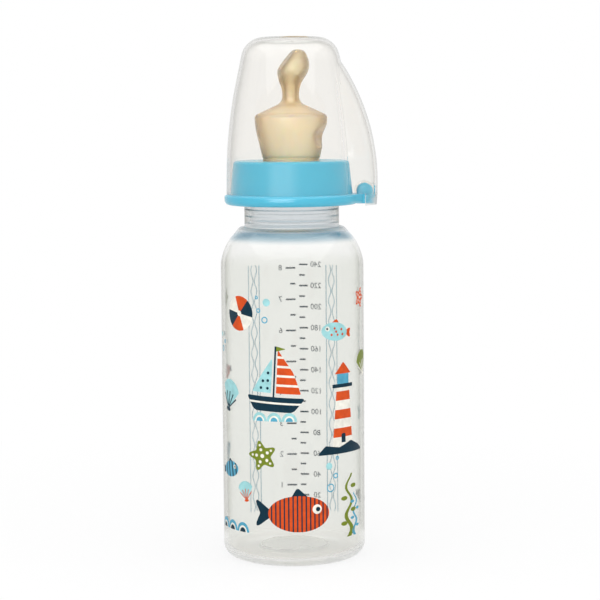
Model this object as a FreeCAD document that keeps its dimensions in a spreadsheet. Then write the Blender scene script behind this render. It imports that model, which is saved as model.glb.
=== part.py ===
import FreeCAD, Part
import math
import os
import types

import Sketcher

# Narrow-neck baby bottle, in millimetres, standing on the XY plane with its axis on Z.
# It comes apart into four mouldings: the hollow bottle, a soft teat, the screw ring that clamps
# the teat to the mouth, and a clear cap over the teat. The cap's side pod drops over the ring's
# lug, which stands at +X.

# Driving sizes: name, value in millimetres or degrees, and what it measures.
SIZES = (
    ("body_radius", 28.3, "outside of the straight barrel"),
    ("body_wall", 1.3, "wall of the barrel and shoulder"),
    ("heel_round", 5.0, "outside round between the barrel and the foot"),
    ("foot_width", 2.5, "flat width of the ring that the bottle stands on"),
    ("foot_height", 1.0, "rise of the underside inside the foot"),
    ("foot_slope", 1.0, "width of the slope inside the foot"),
    ("pushup_radius", 13.2, "raised middle of the underside"),
    ("pushup_height", 2.6, "height of the raised middle over the table"),
    ("pushup_slope", 1.2, "width of the slope round the raised middle"),
    ("floor_wall", 1.5, "thickness of the bottom"),
    ("shoulder_drop", 8.6, "from the ledge down to where the barrel would meet the shoulder cone"),
    ("shoulder_round", 17.5, "outside round of the shoulder"),
    ("ledge_width", 1.8, "from the neck out to the top of the shoulder cone"),
    ("ledge_height", 131.4, "ledge between the shoulder and the neck"),
    ("ledge_round", 0.7, "round on the ledge"),
    ("neck_radius", 18.7, "outside of the neck"),
    ("neck_wall", 1.7, "wall of the neck"),
    ("neck_length", 22.3, "from the ledge to the mouth"),
    ("mouth_round", 0.5, "round on both edges of the mouth"),
    ("teat_wall", 1.5, "wall of the teat"),
    ("teat_flange", 1.8, "thickness of the disc clamped on the mouth"),
    ("waist_gap", 0.3, "room between the teat's waist and the ring's hole"),
    ("bell_swell", 3.1, "from the waist out to the corner of the teat's bell"),
    ("bell_rise", 17.9, "from the ring's top to the corner of the bell"),
    ("bell_bulge", 0.65, "how far the bell's side bows out"),
    ("bell_round", 1.8, "round at the corner of the bell"),
    ("crown_radius", 6.6, "top of the sloping crown"),
    ("crown_rise", 3.1, "height of the sloping crown"),
    ("throat_radius", 3.3, "narrowest part under the nipple"),
    ("throat_rise", 4.9, "height of the flare from the crown to the throat"),
    ("throat_bulge", 0.9, "how far the flare bows in"),
    ("swell_rise", 4.8, "from the throat to the start of the bulb"),
    ("swell_depth", 4.1, "half the nipple's depth there, along X"),
    ("swell_width", 5.0, "half the nipple's width there, along Y"),
    ("bulb_rise", 4.8, "from there to the widest part of the bulb"),
    ("bulb_depth", 6.0, "half the bulb's depth"),
    ("bulb_width", 7.2, "half the bulb's width"),
    ("bulb_shift", 0.8, "how far the bulb leans to +X"),
    ("brow_rise", 4.0, "from the widest part to the slanted face"),
    ("brow_depth", 4.6, "half the depth across the slanted face"),
    ("brow_width", 6.2, "half the width across the slanted face"),
    ("brow_shift", 1.8, "lean to +X at the slanted face"),
    ("crest_rise", 3.0, "from the slanted face to the section under the tip"),
    ("crest_depth", 2.3, "half the depth under the tip"),
    ("crest_width", 3.8, "half the width under the tip"),
    ("crest_shift", 2.0, "lean to +X under the tip"),
    ("tip_rise", 1.4, "from that section to the tip"),
    ("tip_shift", 2.6, "lean to +X of the tip"),
    ("dent_radius", 5.4, "ball shape of the air valve's dent"),
    ("dent_depth", 2.6, "depth of the dent below the bell's widest radius"),
    ("dent_rise", 10.7, "height of the dent's middle over the ring's top"),
    ("dent_turn", 20.0, "degrees from +X towards -Y to the dent's middle"),
    ("ring_hole", 11.4, "hole that the teat stands in"),
    ("ring_deck", 1.8, "thickness of the ring's top"),
    ("ring_height", 17.2, "whole height of the ring"),
    ("ring_wall", 2.5, "wall of the ring at its top"),
    ("ring_flare", 1.4, "how far the ring widens from its top to its flange"),
    ("ring_top_round", 1.2, "round on the ring's top edge"),
    ("thread_room", 1.6, "space for the screw thread between neck and ring"),
    ("flange_reach", 2.3, "how far the flange stands out from the ring"),
    ("flange_height", 4.0, "height of the flange"),
    ("flange_top_round", 1.0, "round on the flange's upper edge"),
    ("flange_foot_round", 2.0, "round on the flange's lower edge"),
    ("lug_reach", 28.8, "from the axis to the middle of the lug"),
    ("lug_depth", 3.1, "half the lug's depth and its top round"),
    ("lug_width", 3.4, "half the lug's width"),
    ("lug_rise", 4.3, "from the flange's top to the lug's top"),
    ("lug_lift", 0.2, "from the ring's lower edge to the lug's lower edge"),
    ("lug_round", 0.8, "round on the lug's edges"),
    ("tab_spread", 12.5, "half the width of the tab where it runs out of the flange"),
    ("tab_width", 2.8, "half the width of the tab behind the lug"),
    ("tab_height", 3.6, "height of the tab below the flange's top"),
    ("tab_round", 1.4, "round on the tab's lower edges"),
    ("cap_gap", 0.3, "room between the flange and the cap's rim"),
    ("cap_wall", 1.1, "wall of the cap"),
    ("cap_height", 61.3, "from the cap's rim to its top"),
    ("cap_setback", 0.8, "from the flange's edge in to the outside of the cap's rim"),
    ("cap_draft", 0.6, "how far the upright wall leans in up to the cone"),
    ("cap_waist_rise", 27.0, "from the rim to that meeting"),
    ("cap_cone", 7.35, "how far the cone leans in up to the flat top"),
    ("cap_side_round", 150.0, "round between the upright wall and the cone"),
    ("cap_top_round", 8.5, "round between the cone and the flat top"),
    ("pod_room", 1.1, "room between the lug and the inside of the pod's nose"),
    ("pod_round", 12.5, "half the width of the pod"),
    ("pod_bend", 85.0, "radius that the nose's line bends by"),
    ("pod_belly_rise", 4.6, "from the rim to where the nose stands upright"),
    ("pod_sweep", 35.0, "degrees that the pod bends back up to the dome"),
    ("pod_dip", 12.0, "degrees that the pod bends on below its belly, before its lip is cut level"),
    ("pod_dip_past", 2.4, "degrees that the pod's hollow bends on past that"),
    ("lip_drop", 4.5, "how far the pod's lip hangs below the rim"),
    ("cheek_gap", 0.5, "room between the lug and each cheek of the pod"),
    ("cheek_wall", 1.0, "thickness of a cheek"),
    ("cheek_lap", 0.9, "how far a cheek's round outline reaches past the lug's"),
)

NEAR = 0.01


class Size:
    """A number with the sheet expression behind it, so that sums of sizes stay bound to the sheet."""

    def __init__(self, value, text):
        self.value = value
        self.text = text

    def __add__(self, other):
        return Size(self.value + number(other), f"({self.text} + {words(other)})")

    def __sub__(self, other):
        return Size(self.value - number(other), f"({self.text} - {words(other)})")

    def __mul__(self, other):
        return Size(self.value * number(other), f"({self.text} * {words(other)})")

    def __truediv__(self, other):
        return Size(self.value / number(other), f"({self.text} / {words(other)})")

    def __neg__(self):
        return Size(-self.value, f"(0 - {self.text})")


def number(amount):
    return amount.value if isinstance(amount, Size) else amount


def words(amount):
    return amount.text if isinstance(amount, Size) else str(amount)


def root(amount):
    return Size(math.sqrt(amount.value), f"sqrt({amount.text})")


def fill_sheet(doc):
    """Put the driving sizes in a sheet and return them by name."""
    sheet = doc.addObject("Spreadsheet::Sheet", "sizes")
    for row, (name, value, note) in enumerate(SIZES, 1):
        sheet.set(f"A{row}", name)
        sheet.set(f"B{row}", str(value))
        sheet.set(f"C{row}", note)
        sheet.setAlias(f"B{row}", name)
    doc.recompute()
    sizes = types.SimpleNamespace()
    for name, _, _ in SIZES:
        setattr(sizes, name, Size(float(sheet.get(name)), f"sizes.{name}"))
    return sizes


def bind(item, **amounts):
    """Bind properties of a document object to sizes."""
    for name, amount in amounts.items():
        item.setExpression(name.replace("__", "."), amount.text)


def new_sketch(body, name, role, height=None):
    """A sketch on one of the body's origin planes, raised along that plane's normal."""
    sketch = body.newObject("Sketcher::SketchObject", name)
    plane = next(item for item in body.Origin.OriginFeatures if item.Role == role)
    sketch.AttachmentSupport = (plane, [""])
    sketch.MapMode = "FlatFace"
    if height is not None:
        bind(sketch, AttachmentOffset__Base__z=height)
    return sketch


def fix(sketch, kind, amount, *spots):
    """Add a dimension bound to the sheet."""
    index = sketch.addConstraint(Sketcher.Constraint(kind, *spots, amount.value))
    sketch.setExpression(f"Constraints[{index}]", amount.text)


def bow_radius(start, end, bulge):
    """Radius of the arc over the straight line between two points that stands bulge away from it."""
    across = end[0] - start[0]
    up = end[1] - start[1]
    return (across * across + up * up) / (bulge * 8) + bulge / 2


def bow_edge(start, end, radius, left):
    """The arc of that radius from start to end, turning left or right."""
    chord = end - start
    middle = start + chord * 0.5
    side = FreeCAD.Vector(-chord.y, chord.x, 0).normalize() * (1 if left else -1)
    centre = middle + side * math.sqrt(radius ** 2 - chord.Length ** 2 / 4)
    first, last = (start, end) if left else (end, start)
    angles = [math.atan2(spot.y - centre.y, spot.x - centre.x) for spot in (first, last)]
    return Part.ArcOfCircle(Part.Circle(centre, FreeCAD.Vector(0, 0, 1), radius), *angles)


def draw_outline(sketch, points, bows=None):
    """Close a loop through (across, up) points.

    bows gives, for the stretch after a point, how far it bows and whether it turns left.
    """
    bows = bows or {}
    spots = [FreeCAD.Vector(across.value, up.value, 0) for across, up in points]
    following = list(range(1, len(points))) + [0]
    ends = []
    for here, there in enumerate(following):
        if here in bows:
            bulge, left = bows[here]
            radius = bow_radius(points[here], points[there], bulge)
            index = sketch.addGeometry(bow_edge(spots[here], spots[there], radius.value, left), False)
            fix(sketch, "Radius", radius, index)
            ends.append((index, 1, 2) if left else (index, 2, 1))
        else:
            index = sketch.addGeometry(Part.LineSegment(spots[here], spots[there]), False)
            ends.append((index, 1, 2))
    for here, there in enumerate(following):
        joint = (ends[here][0], ends[here][2], ends[there][0], ends[there][1])
        sketch.addConstraint(Sketcher.Constraint("Coincident", *joint))
    for (across, up), (index, first, _) in zip(points, ends):
        fix(sketch, "DistanceX", across, -1, 1, index, first)
        fix(sketch, "DistanceY", up, -1, 1, index, first)


def turned_body(doc, name, points, bows=None):
    """A body turned about Z from an outline of (radius, height) points."""
    body = doc.addObject("PartDesign::Body", name)
    sketch = new_sketch(body, f"{name}_outline", "XZ_Plane")
    draw_outline(sketch, points, bows)
    turn = body.newObject("PartDesign::Revolution", f"{name}_turn")
    turn.Profile = sketch
    turn.ReferenceAxis = (sketch, ["V_Axis"])
    turn.Angle = 360
    doc.recompute()
    return body


def round_rims(body, name, radius, *rims):
    """Round the circular edges at these (radius, height) places."""
    base = body.Tip
    names = []
    for index, edge in enumerate(base.Shape.Edges, 1):
        if not isinstance(edge.Curve, Part.Circle):
            continue
        for rim_radius, rim_height in rims:
            same_radius = abs(edge.Curve.Radius - rim_radius.value) < NEAR
            same_height = abs(edge.Curve.Center.z - rim_height.value) < NEAR
            if same_radius and same_height:
                names.append(f"Edge{index}")
    fillet = body.newObject("PartDesign::Fillet", name)
    fillet.Base = (base, names)
    bind(fillet, Radius=radius)
    body.Document.recompute()


def ball(doc, name, radius, across, turn, height):
    """A sphere whose middle lies across from the axis, turned from +X towards -Y."""
    sphere = doc.addObject("Part::Sphere", name)
    bind(sphere, Radius=radius)
    sphere.setExpression("Placement.Base.x", f"{across.text} * cos({turn.text})")
    sphere.setExpression("Placement.Base.y", f"0 - {across.text} * sin({turn.text})")
    bind(sphere, Placement__Base__z=height)
    return sphere


def oval(doc, name, depth, width, shift, height):
    """An ellipse across Z, with its half depth along X and its half width along Y."""
    ellipse = doc.addObject("Part::Ellipse", name)
    if width.value >= depth.value:
        bind(ellipse, MajorRadius=width, MinorRadius=depth)
        ellipse.Placement.Rotation = FreeCAD.Rotation(FreeCAD.Vector(0, 0, 1), 90)
    else:
        bind(ellipse, MajorRadius=depth, MinorRadius=width)
    bind(ellipse, Placement__Base__x=shift, Placement__Base__z=height)
    return ellipse


def loft(doc, name, sections):
    solid = doc.addObject("Part::Loft", name)
    solid.Sections = sections
    solid.Solid = True
    return solid


def fuse(doc, name, *shapes):
    joined = doc.addObject("Part::MultiFuse", name)
    joined.Shapes = list(shapes)
    return joined


def cut(doc, name, base, tool):
    rest = doc.addObject("Part::Cut", name)
    rest.Base = base
    rest.Tool = tool
    return rest


def block(doc, name, low, high):
    """A box between two corners given as sizes."""
    box = doc.addObject("Part::Box", name)
    bind(box, Length=high[0] - low[0], Width=high[1] - low[1], Height=high[2] - low[2])
    bind(box, Placement__Base__x=low[0], Placement__Base__y=low[1], Placement__Base__z=low[2])
    return box


def make_bottle(doc, s, level):
    """Hollow bottle: foot and raised underside, straight barrel, rounded shoulder, ledge and neck."""
    zero = s.body_radius - s.body_radius
    run = s.body_radius - level.ledge_radius
    rise = s.ledge_height - level.shoulder_height
    slant = root(run * run + rise * rise)
    inner_radius = s.body_radius - s.body_wall
    inner_shoulder = level.shoulder_height - s.body_wall * (slant - rise) / run
    inner_neck = s.neck_radius - s.neck_wall
    inner_ledge = s.ledge_height - s.body_wall
    inner_ledge_radius = inner_radius - (inner_ledge - inner_shoulder) * run / rise
    floor = s.foot_height + s.floor_wall
    points = [
        (zero, s.pushup_height),
        (s.pushup_radius, s.pushup_height),
        (s.pushup_radius + s.pushup_slope, s.foot_height),
        (level.foot_radius - s.foot_slope, s.foot_height),
        (level.foot_radius, zero),
        (s.body_radius, zero),
        (s.body_radius, level.shoulder_height),
        (level.ledge_radius, s.ledge_height),
        (s.neck_radius, s.ledge_height),
        (s.neck_radius, level.mouth),
        (inner_neck, level.mouth),
        (inner_neck, inner_ledge),
        (inner_ledge_radius, inner_ledge),
        (inner_radius, inner_shoulder),
        (inner_radius, floor),
        (s.pushup_radius + s.pushup_slope, floor),
        (s.pushup_radius, s.pushup_height + s.floor_wall),
        (zero, s.pushup_height + s.floor_wall),
    ]
    body = turned_body(doc, "bottle_body", points)
    round_rims(body, "shoulder", s.shoulder_round, (s.body_radius, level.shoulder_height))
    round_rims(body, "shoulder_inside", s.shoulder_round - s.body_wall, (inner_radius, inner_shoulder))
    round_rims(body, "heel", s.heel_round, (s.body_radius, zero))
    round_rims(body, "heel_inside", s.heel_round - s.body_wall, (inner_radius, floor))
    round_rims(body, "ledge", s.ledge_round, (level.ledge_radius, s.ledge_height))
    round_rims(body, "mouth", s.mouth_round, (s.neck_radius, level.mouth), (inner_neck, level.mouth))
    return body


def bell_points(s, level, inset, foot):
    """The outline from the waist up to the throat, moved in by inset, and closed along the axis."""
    zero = inset - inset
    slope = s.crown_rise / (level.bell_radius - s.crown_radius)
    drop = inset * (root(slope * slope + 1) - slope)
    corner = level.bell_corner - drop
    return [
        (zero, foot),
        (level.waist_radius - inset, foot),
        (level.waist_radius - inset, level.ring_top),
        (level.bell_radius - inset, corner),
        (s.crown_radius - inset, corner + (level.bell_radius - s.crown_radius) * slope),
        (s.throat_radius - inset, level.throat),
        (zero, level.throat),
    ]


def nipple(doc, name, s, level, inset):
    """The flattened bulb over the throat, which leans to +X and slants to its tip, moved in by inset."""
    zero = inset - inset
    throat = s.throat_radius - inset
    swell = level.throat + s.swell_rise
    bulb = swell + s.bulb_rise
    brow = bulb + s.brow_rise
    crest = brow + s.crest_rise - inset
    rings = (
        ("throat", throat, throat, zero, level.throat),
        ("swell", s.swell_depth - inset, s.swell_width - inset, zero, swell),
        ("bulb", s.bulb_depth - inset, s.bulb_width - inset, s.bulb_shift, bulb),
        ("brow", s.brow_depth - inset, s.brow_width - inset, s.brow_shift, brow),
        ("crest", s.crest_depth - inset / 2, s.crest_width - inset / 2, s.crest_shift, crest),
    )
    sections = [oval(doc, f"{name}_{ring}", *sizes) for ring, *sizes in rings]
    tip = doc.addObject("Part::Vertex", f"{name}_tip")
    bind(tip, X=s.tip_shift, Y=zero, Z=crest + s.tip_rise)
    return loft(doc, name, sections + [tip])


def make_teat(doc, s, level):
    """Hollow teat: clamped disc, waist, bowed bell, sloping crown, nipple, and the air valve's dent."""
    zero = s.teat_wall - s.teat_wall
    outline = bell_points(s, level, zero, level.mouth)
    disc = [
        (zero, level.mouth),
        (level.disc_radius, level.mouth),
        (level.disc_radius, level.deck_under),
        (level.waist_radius, level.deck_under),
    ]
    bell = turned_body(doc, "bell", disc + outline[2:], {4: (s.bell_bulge, True), 6: (s.throat_bulge, False)})
    round_rims(bell, "bell_corner", s.bell_round, outline[3])

    inside = bell_points(s, level, s.teat_wall, level.mouth - s.teat_flange)
    bows = {2: (s.bell_bulge, True), 4: (s.throat_bulge, False)}
    bell_hollow = turned_body(doc, "bell_hollow", inside, bows)

    dent_middle = level.bell_radius - s.dent_depth + s.dent_radius
    dent_height = level.ring_top + s.dent_rise
    dent = ball(doc, "dent", s.dent_radius, dent_middle, s.dent_turn, dent_height)
    dent_wall = ball(doc, "dent_wall", s.dent_radius + s.teat_wall, dent_middle, s.dent_turn, dent_height)

    outside = fuse(doc, "teat_outside", bell, nipple(doc, "nipple", s, level, zero))
    hollow = fuse(doc, "teat_hollow", bell_hollow, nipple(doc, "nipple_hollow", s, level, s.teat_wall))
    skin = cut(doc, "teat_skin", outside, cut(doc, "teat_air", hollow, dent_wall))
    return cut(doc, "teat", skin, dent)


def make_ring(doc, s, level):
    """Screw ring: holed deck, tapered skirt, rolled flange, and the lug on its tab."""
    points = [
        (s.ring_hole, level.deck_under),
        (s.ring_hole, level.ring_top),
        (level.ring_top_radius, level.ring_top),
        (level.ring_base_radius, level.flange_top),
        (level.flange_radius, level.flange_top),
        (level.flange_radius, level.ring_foot),
        (level.bore_radius, level.ring_foot),
        (level.bore_radius, level.deck_under),
    ]
    body = turned_body(doc, "ring_turned", points)
    round_rims(body, "ring_edge", s.ring_top_round, points[2])
    round_rims(body, "flange_edge", s.flange_top_round, points[4])
    round_rims(body, "flange_foot", s.flange_foot_round, points[5])

    ring_and_tab = fuse(doc, "ring_and_tab", body, make_tab(doc, s, level))
    return fuse(doc, "screw_ring", ring_and_tab, make_lug(doc, s, level))


def make_tab(doc, s, level):
    """Wedge that runs out of the flange to the lug, with rounded lower edges."""
    tab_root = (level.bore_radius + level.ring_base_radius) / 2
    foot = level.flange_top - s.tab_height
    body = doc.addObject("PartDesign::Body", "tab")
    sketch = new_sketch(body, "tab_outline", "XY_Plane", foot)
    points = [
        (tab_root, -s.tab_spread),
        (s.lug_reach, -s.tab_width),
        (s.lug_reach, s.tab_width),
        (tab_root, s.tab_spread),
    ]
    draw_outline(sketch, points)
    pad = body.newObject("PartDesign::Pad", "tab_pad")
    pad.Profile = sketch
    bind(pad, Length=s.tab_height)
    doc.recompute()
    lower = [
        f"Edge{index}" for index, edge in enumerate(pad.Shape.Edges, 1)
        if abs(edge.BoundBox.ZMax - foot.value) < NEAR
    ]
    fillet = body.newObject("PartDesign::Fillet", "tab_edges")
    fillet.Base = (pad, lower)
    bind(fillet, Radius=s.tab_round)
    return body


def make_lug(doc, s, level):
    """Upright lug with a half-round top and softened edges."""
    foot = level.ring_foot + s.lug_lift
    top = level.flange_top + s.lug_rise
    inner = s.lug_reach - s.lug_depth
    outer = s.lug_reach + s.lug_depth
    shoulder = top - s.lug_depth
    body = doc.addObject("PartDesign::Body", "lug")
    sketch = new_sketch(body, "lug_outline", "XZ_Plane")
    points = [(inner, foot), (outer, foot), (outer, shoulder), (s.lug_reach, top), (inner, shoulder)]
    draw_outline(sketch, points, {2: (level.quarter_bow, True), 3: (level.quarter_bow, True)})
    pad = body.newObject("PartDesign::Pad", "lug_pad")
    pad.Profile = sketch
    pad.SideType = "Symmetric"
    bind(pad, Length=s.lug_width * 2)
    doc.recompute()
    fillet = body.newObject("PartDesign::Fillet", "lug_edges")
    fillet.Base = (pad, [f"Edge{index}" for index in range(1, len(pad.Shape.Edges) + 1)])
    bind(fillet, Radius=s.lug_round)
    return body


def dome_body(doc, name, s, level, inset, foot):
    """The cap's turned dome, moved in by inset, filled and standing on foot."""
    zero = inset - inset
    taper = (level.cap_waist_radius - level.cap_top_radius) / (s.cap_height - s.cap_waist_rise)
    top = level.cap_rim + s.cap_height - inset
    waist = (level.cap_waist_radius - inset, level.cap_rim + s.cap_waist_rise)
    corner = (level.cap_top_radius - inset + inset * taper, top)
    points = [(zero, foot), (level.cap_rim_radius - inset, foot), waist, corner, (zero, top)]
    body = turned_body(doc, name, points)
    round_rims(body, f"{name}_side", s.cap_side_round - inset, waist)
    round_rims(body, f"{name}_top", s.cap_top_round - inset, corner)
    return body


def pod_body(doc, name, s, level, inset, below):
    """The pod: a circle carried along the bend of the nose, from degrees below its belly up to the dome."""
    body = doc.addObject("PartDesign::Body", name)
    sketch = new_sketch(body, f"{name}_circle", "XY_Plane", level.cap_rim + s.pod_belly_rise)
    bind(sketch, AttachmentOffset__Base__x=level.pod_reach - s.pod_bend)
    middle = s.pod_bend - s.pod_round
    radius = s.pod_round - inset
    circle = Part.Circle(FreeCAD.Vector(middle.value, 0, 0), FreeCAD.Vector(0, 0, 1), radius.value)
    index = sketch.addGeometry(circle, False)
    fix(sketch, "DistanceX", middle, -1, 1, index, 3)
    fix(sketch, "DistanceY", inset - inset, -1, 1, index, 3)
    fix(sketch, "Radius", radius, index)
    turn = body.newObject("PartDesign::Revolution", f"{name}_bend")
    turn.Profile = sketch
    turn.ReferenceAxis = (sketch, ["V_Axis"])
    turn.Type = "TwoAngles"
    turn.Reversed = True
    bind(turn, Angle=s.pod_sweep, Angle2=below)
    return body


def cheek(doc, name, s, level, near_side):
    """One round cheek of the pod, beside the lug."""
    disc = doc.addObject("Part::Cylinder", name)
    disc.Placement.Rotation = FreeCAD.Rotation(FreeCAD.Vector(1, 0, 0), 90)
    bind(disc, Radius=level.cheek_radius, Height=s.cheek_wall)
    height = level.flange_top + s.lug_rise - s.lug_depth
    bind(disc, Placement__Base__x=s.lug_reach, Placement__Base__y=near_side, Placement__Base__z=height)
    return disc


def make_cap(doc, s, level):
    """Clear cap: hollow dome with a hollow side pod, whose lip and cheeks drop round the ring's lug."""
    zero = s.cap_wall - s.cap_wall
    pod = pod_body(doc, "pod", s, level, zero, s.pod_dip)
    outside = fuse(doc, "cap_outside", dome_body(doc, "dome", s, level, zero, level.cap_rim), pod)
    pod_hollow = pod_body(doc, "pod_hollow", s, level, s.cap_wall, s.pod_dip + s.pod_dip_past)
    dome_hollow = dome_body(doc, "dome_hollow", s, level, s.cap_wall, level.cap_rim - s.lip_drop)
    shell = cut(doc, "cap_shell", outside, fuse(doc, "cap_air", dome_hollow, pod_hollow))

    inner_side = s.lug_width + s.cheek_gap
    front = cheek(doc, "front_cheek", s, level, -inner_side)
    back = cheek(doc, "back_cheek", s, level, inner_side + s.cheek_wall)
    cheeks = doc.addObject("Part::Common", "cheeks")
    cheeks.Base = fuse(doc, "cheek_discs", front, back)
    cheeks.Tool = outside

    lip = level.cap_rim - s.lip_drop
    far = level.pod_reach * 2
    under_lip = block(doc, "under_lip", (-far, -far, -far), (far, far, lip))
    under_rim = block(doc, "under_rim", (-far, -far, -far), (s.lug_reach, far, level.cap_rim))
    trim = fuse(doc, "cap_trim", under_lip, under_rim)
    return cut(doc, "cap", fuse(doc, "cap_whole", shell, cheeks), trim)


def set_levels(s):
    """Heights and radii at which the mouldings meet, worked out from the driving sizes."""
    level = types.SimpleNamespace()
    level.foot_radius = s.body_radius - s.heel_round - s.foot_width
    level.shoulder_height = s.ledge_height - s.shoulder_drop
    level.ledge_radius = s.neck_radius + s.ledge_width
    level.mouth = s.ledge_height + s.neck_length
    level.deck_under = level.mouth + s.teat_flange
    level.ring_top = level.deck_under + s.ring_deck
    level.ring_foot = level.ring_top - s.ring_height
    level.flange_top = level.ring_foot + s.flange_height
    level.bore_radius = s.neck_radius + s.thread_room
    level.ring_top_radius = level.bore_radius + s.ring_wall
    level.ring_base_radius = level.ring_top_radius + s.ring_flare
    level.flange_radius = level.ring_base_radius + s.flange_reach
    level.disc_radius = s.neck_radius
    level.waist_radius = s.ring_hole - s.waist_gap
    level.bell_radius = level.waist_radius + s.bell_swell
    level.bell_corner = level.ring_top + s.bell_rise
    level.throat = level.bell_corner + s.crown_rise + s.throat_rise
    level.cap_rim = level.flange_top + s.cap_gap
    level.cap_rim_radius = level.flange_radius - s.cap_setback
    level.cap_waist_radius = level.cap_rim_radius - s.cap_draft
    level.cap_top_radius = level.cap_waist_radius - s.cap_cone
    level.pod_reach = s.lug_reach + s.lug_depth + s.pod_room + s.cap_wall
    level.cheek_radius = s.lug_depth + s.cheek_lap
    level.quarter_bow = s.lug_depth * (1 - math.sqrt(0.5))
    return level


def check(doc, pieces):
    """Stop unless every object was built and every piece is one sound solid."""
    for item in doc.Objects:
        if "Invalid" in item.State or "Error" in item.State:
            raise RuntimeError(f"{item.Name} failed: {item.State}")
    for piece in pieces:
        shape = piece.Shape
        if shape.isNull() or not shape.isValid() or len(shape.Solids) != 1:
            raise RuntimeError(f"{piece.Label} is not one valid solid")
        box = shape.optimalBoundingBox(False)
        print(f"{piece.Label}: {shape.Volume / 1000:.2f} cm3, z {box.ZMin:.2f} to {box.ZMax:.2f}")


def main():
    doc = FreeCAD.newDocument("baby_bottle")
    sizes = fill_sheet(doc)
    level = set_levels(sizes)
    makers = (("bottle_body", make_bottle), ("teat", make_teat), ("screw_ring", make_ring), ("cap", make_cap))
    pieces = []
    for label, maker in makers:
        piece = maker(doc, sizes, level)
        piece.Label = label
        pieces.append(piece)
    doc.recompute()
    check(doc, pieces)
    os.makedirs("parts", exist_ok=True)
    for piece in pieces:
        piece.Shape.exportStep(f"parts/{piece.Label}.step")


main()
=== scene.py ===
# %% [markdown]
# # A see-through feeding bottle
# The imported model is a fixed frame: four mouldings that already stand at their real size and place.
# This lesson builds their looks around it, one moulding at a time: the bottle with its print, the soft
# teat, the blue screw ring and the clear cap. The frame's box is kept. Two small helpers put what is made
# into the scene.

# %% Load the frame
import math

import bmesh
import bpy
from mathutils import Matrix, Vector


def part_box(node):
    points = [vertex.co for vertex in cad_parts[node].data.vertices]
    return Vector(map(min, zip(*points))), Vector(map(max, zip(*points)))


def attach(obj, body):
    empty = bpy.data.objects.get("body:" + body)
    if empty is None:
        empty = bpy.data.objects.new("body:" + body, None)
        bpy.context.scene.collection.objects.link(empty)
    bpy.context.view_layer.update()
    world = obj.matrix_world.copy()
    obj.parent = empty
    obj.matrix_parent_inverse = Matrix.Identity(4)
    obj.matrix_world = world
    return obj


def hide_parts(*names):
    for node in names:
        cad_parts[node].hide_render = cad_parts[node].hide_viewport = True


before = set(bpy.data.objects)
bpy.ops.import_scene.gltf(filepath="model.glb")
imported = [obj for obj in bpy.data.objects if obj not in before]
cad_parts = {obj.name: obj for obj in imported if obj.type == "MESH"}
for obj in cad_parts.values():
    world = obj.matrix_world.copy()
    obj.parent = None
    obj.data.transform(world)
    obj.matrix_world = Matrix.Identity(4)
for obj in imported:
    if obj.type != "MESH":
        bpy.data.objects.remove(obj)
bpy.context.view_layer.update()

MM = 0.001
print("frame nodes:", sorted(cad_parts))

# %% Object helpers
def placed(name, data):
    """Make an object from its data and put it in the scene."""
    thing = bpy.data.objects.new(name, data)
    bpy.context.scene.collection.objects.link(thing)
    return thing


def as_mesh(name, bm):
    """Turn a bmesh into a mesh and free it."""
    mesh = bpy.data.meshes.new(name)
    bm.to_mesh(mesh)
    bm.free()
    return mesh


print("objects go to:", bpy.context.scene.collection.name)

# %% [markdown]
# ## The camera
# The picture was taken from a little above, with a long lens, so upright lines stay nearly parallel.
# The camera stands that far off, tips down by the same angle and is rolled by half a degree, because
# the bottle leans a little to the left in the picture.

# %% Camera
VIEW_DISTANCE = 0.770
VIEW_PITCH = math.radians(5.8)
VIEW_ROLL = math.radians(-0.48)
VIEW_AIM = Vector((0.0030, 0.0, 0.102))
VIEW_ANGLE = math.radians(17.6)
VIEW_NEAREST = 0.01

camera_data = bpy.data.cameras.new("camera")
camera_data.sensor_fit = "HORIZONTAL"
camera_data.angle = VIEW_ANGLE
camera_data.clip_start = VIEW_NEAREST
camera = placed("camera", camera_data)
backwards = Vector((0, -math.cos(VIEW_PITCH), math.sin(VIEW_PITCH)))
camera.matrix_world = (
    Matrix.Translation(VIEW_AIM + backwards * VIEW_DISTANCE)
    @ Matrix.Rotation(math.radians(90) - VIEW_PITCH, 4, "X")
    @ Matrix.Rotation(VIEW_ROLL, 4, "Z")
)
bpy.context.scene.camera = camera
print(f"camera with a {camera_data.lens:.0f} mm lens, {VIEW_DISTANCE / MM:.0f} mm from the axis")

# %% [markdown]
# ## Small tools for node trees
# Every material here is a tree of nodes, and building one is mostly making a node and feeding its inputs.
# An input is fed either by a link from another node or by a plain value, so one function does both, and
# the rest are built on it.

# %% Node helpers
WHITE = (1, 1, 1, 1)


def feed(tree, value, socket):
    """Link an output to an input, or set a plain value on the input."""
    if isinstance(value, bpy.types.NodeSocket):
        tree.links.new(value, socket)
    else:
        socket.default_value = value


def set_inputs(tree, node, **inputs):
    """Feed a node's inputs by name, with _ in place of a space."""
    for name, value in inputs.items():
        feed(tree, value, node.inputs[name.replace("_", " ")])


def add_node(tree, kind, operation=None, **inputs):
    """Make a node and feed its inputs by name."""
    node = tree.nodes.new("ShaderNode" + kind)
    if operation:
        node.operation = operation
    set_inputs(tree, node, **inputs)
    return node


def add_math(tree, operation, *values):
    """The result of a Math node whose inputs are fed in order."""
    node = add_node(tree, "Math", operation)
    for value, socket in zip(values, node.inputs):
        feed(tree, value, socket)
    return node.outputs[0]


def add_colour_mix(tree, blend, share, first, second):
    """The colour of a Mix node between two colours."""
    node = add_node(tree, "Mix")
    node.data_type = "RGBA"
    node.blend_type = blend
    for value, index in ((share, 0), (first, 6), (second, 7)):
        feed(tree, value, node.inputs[index])
    return node.outputs[2]


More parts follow.
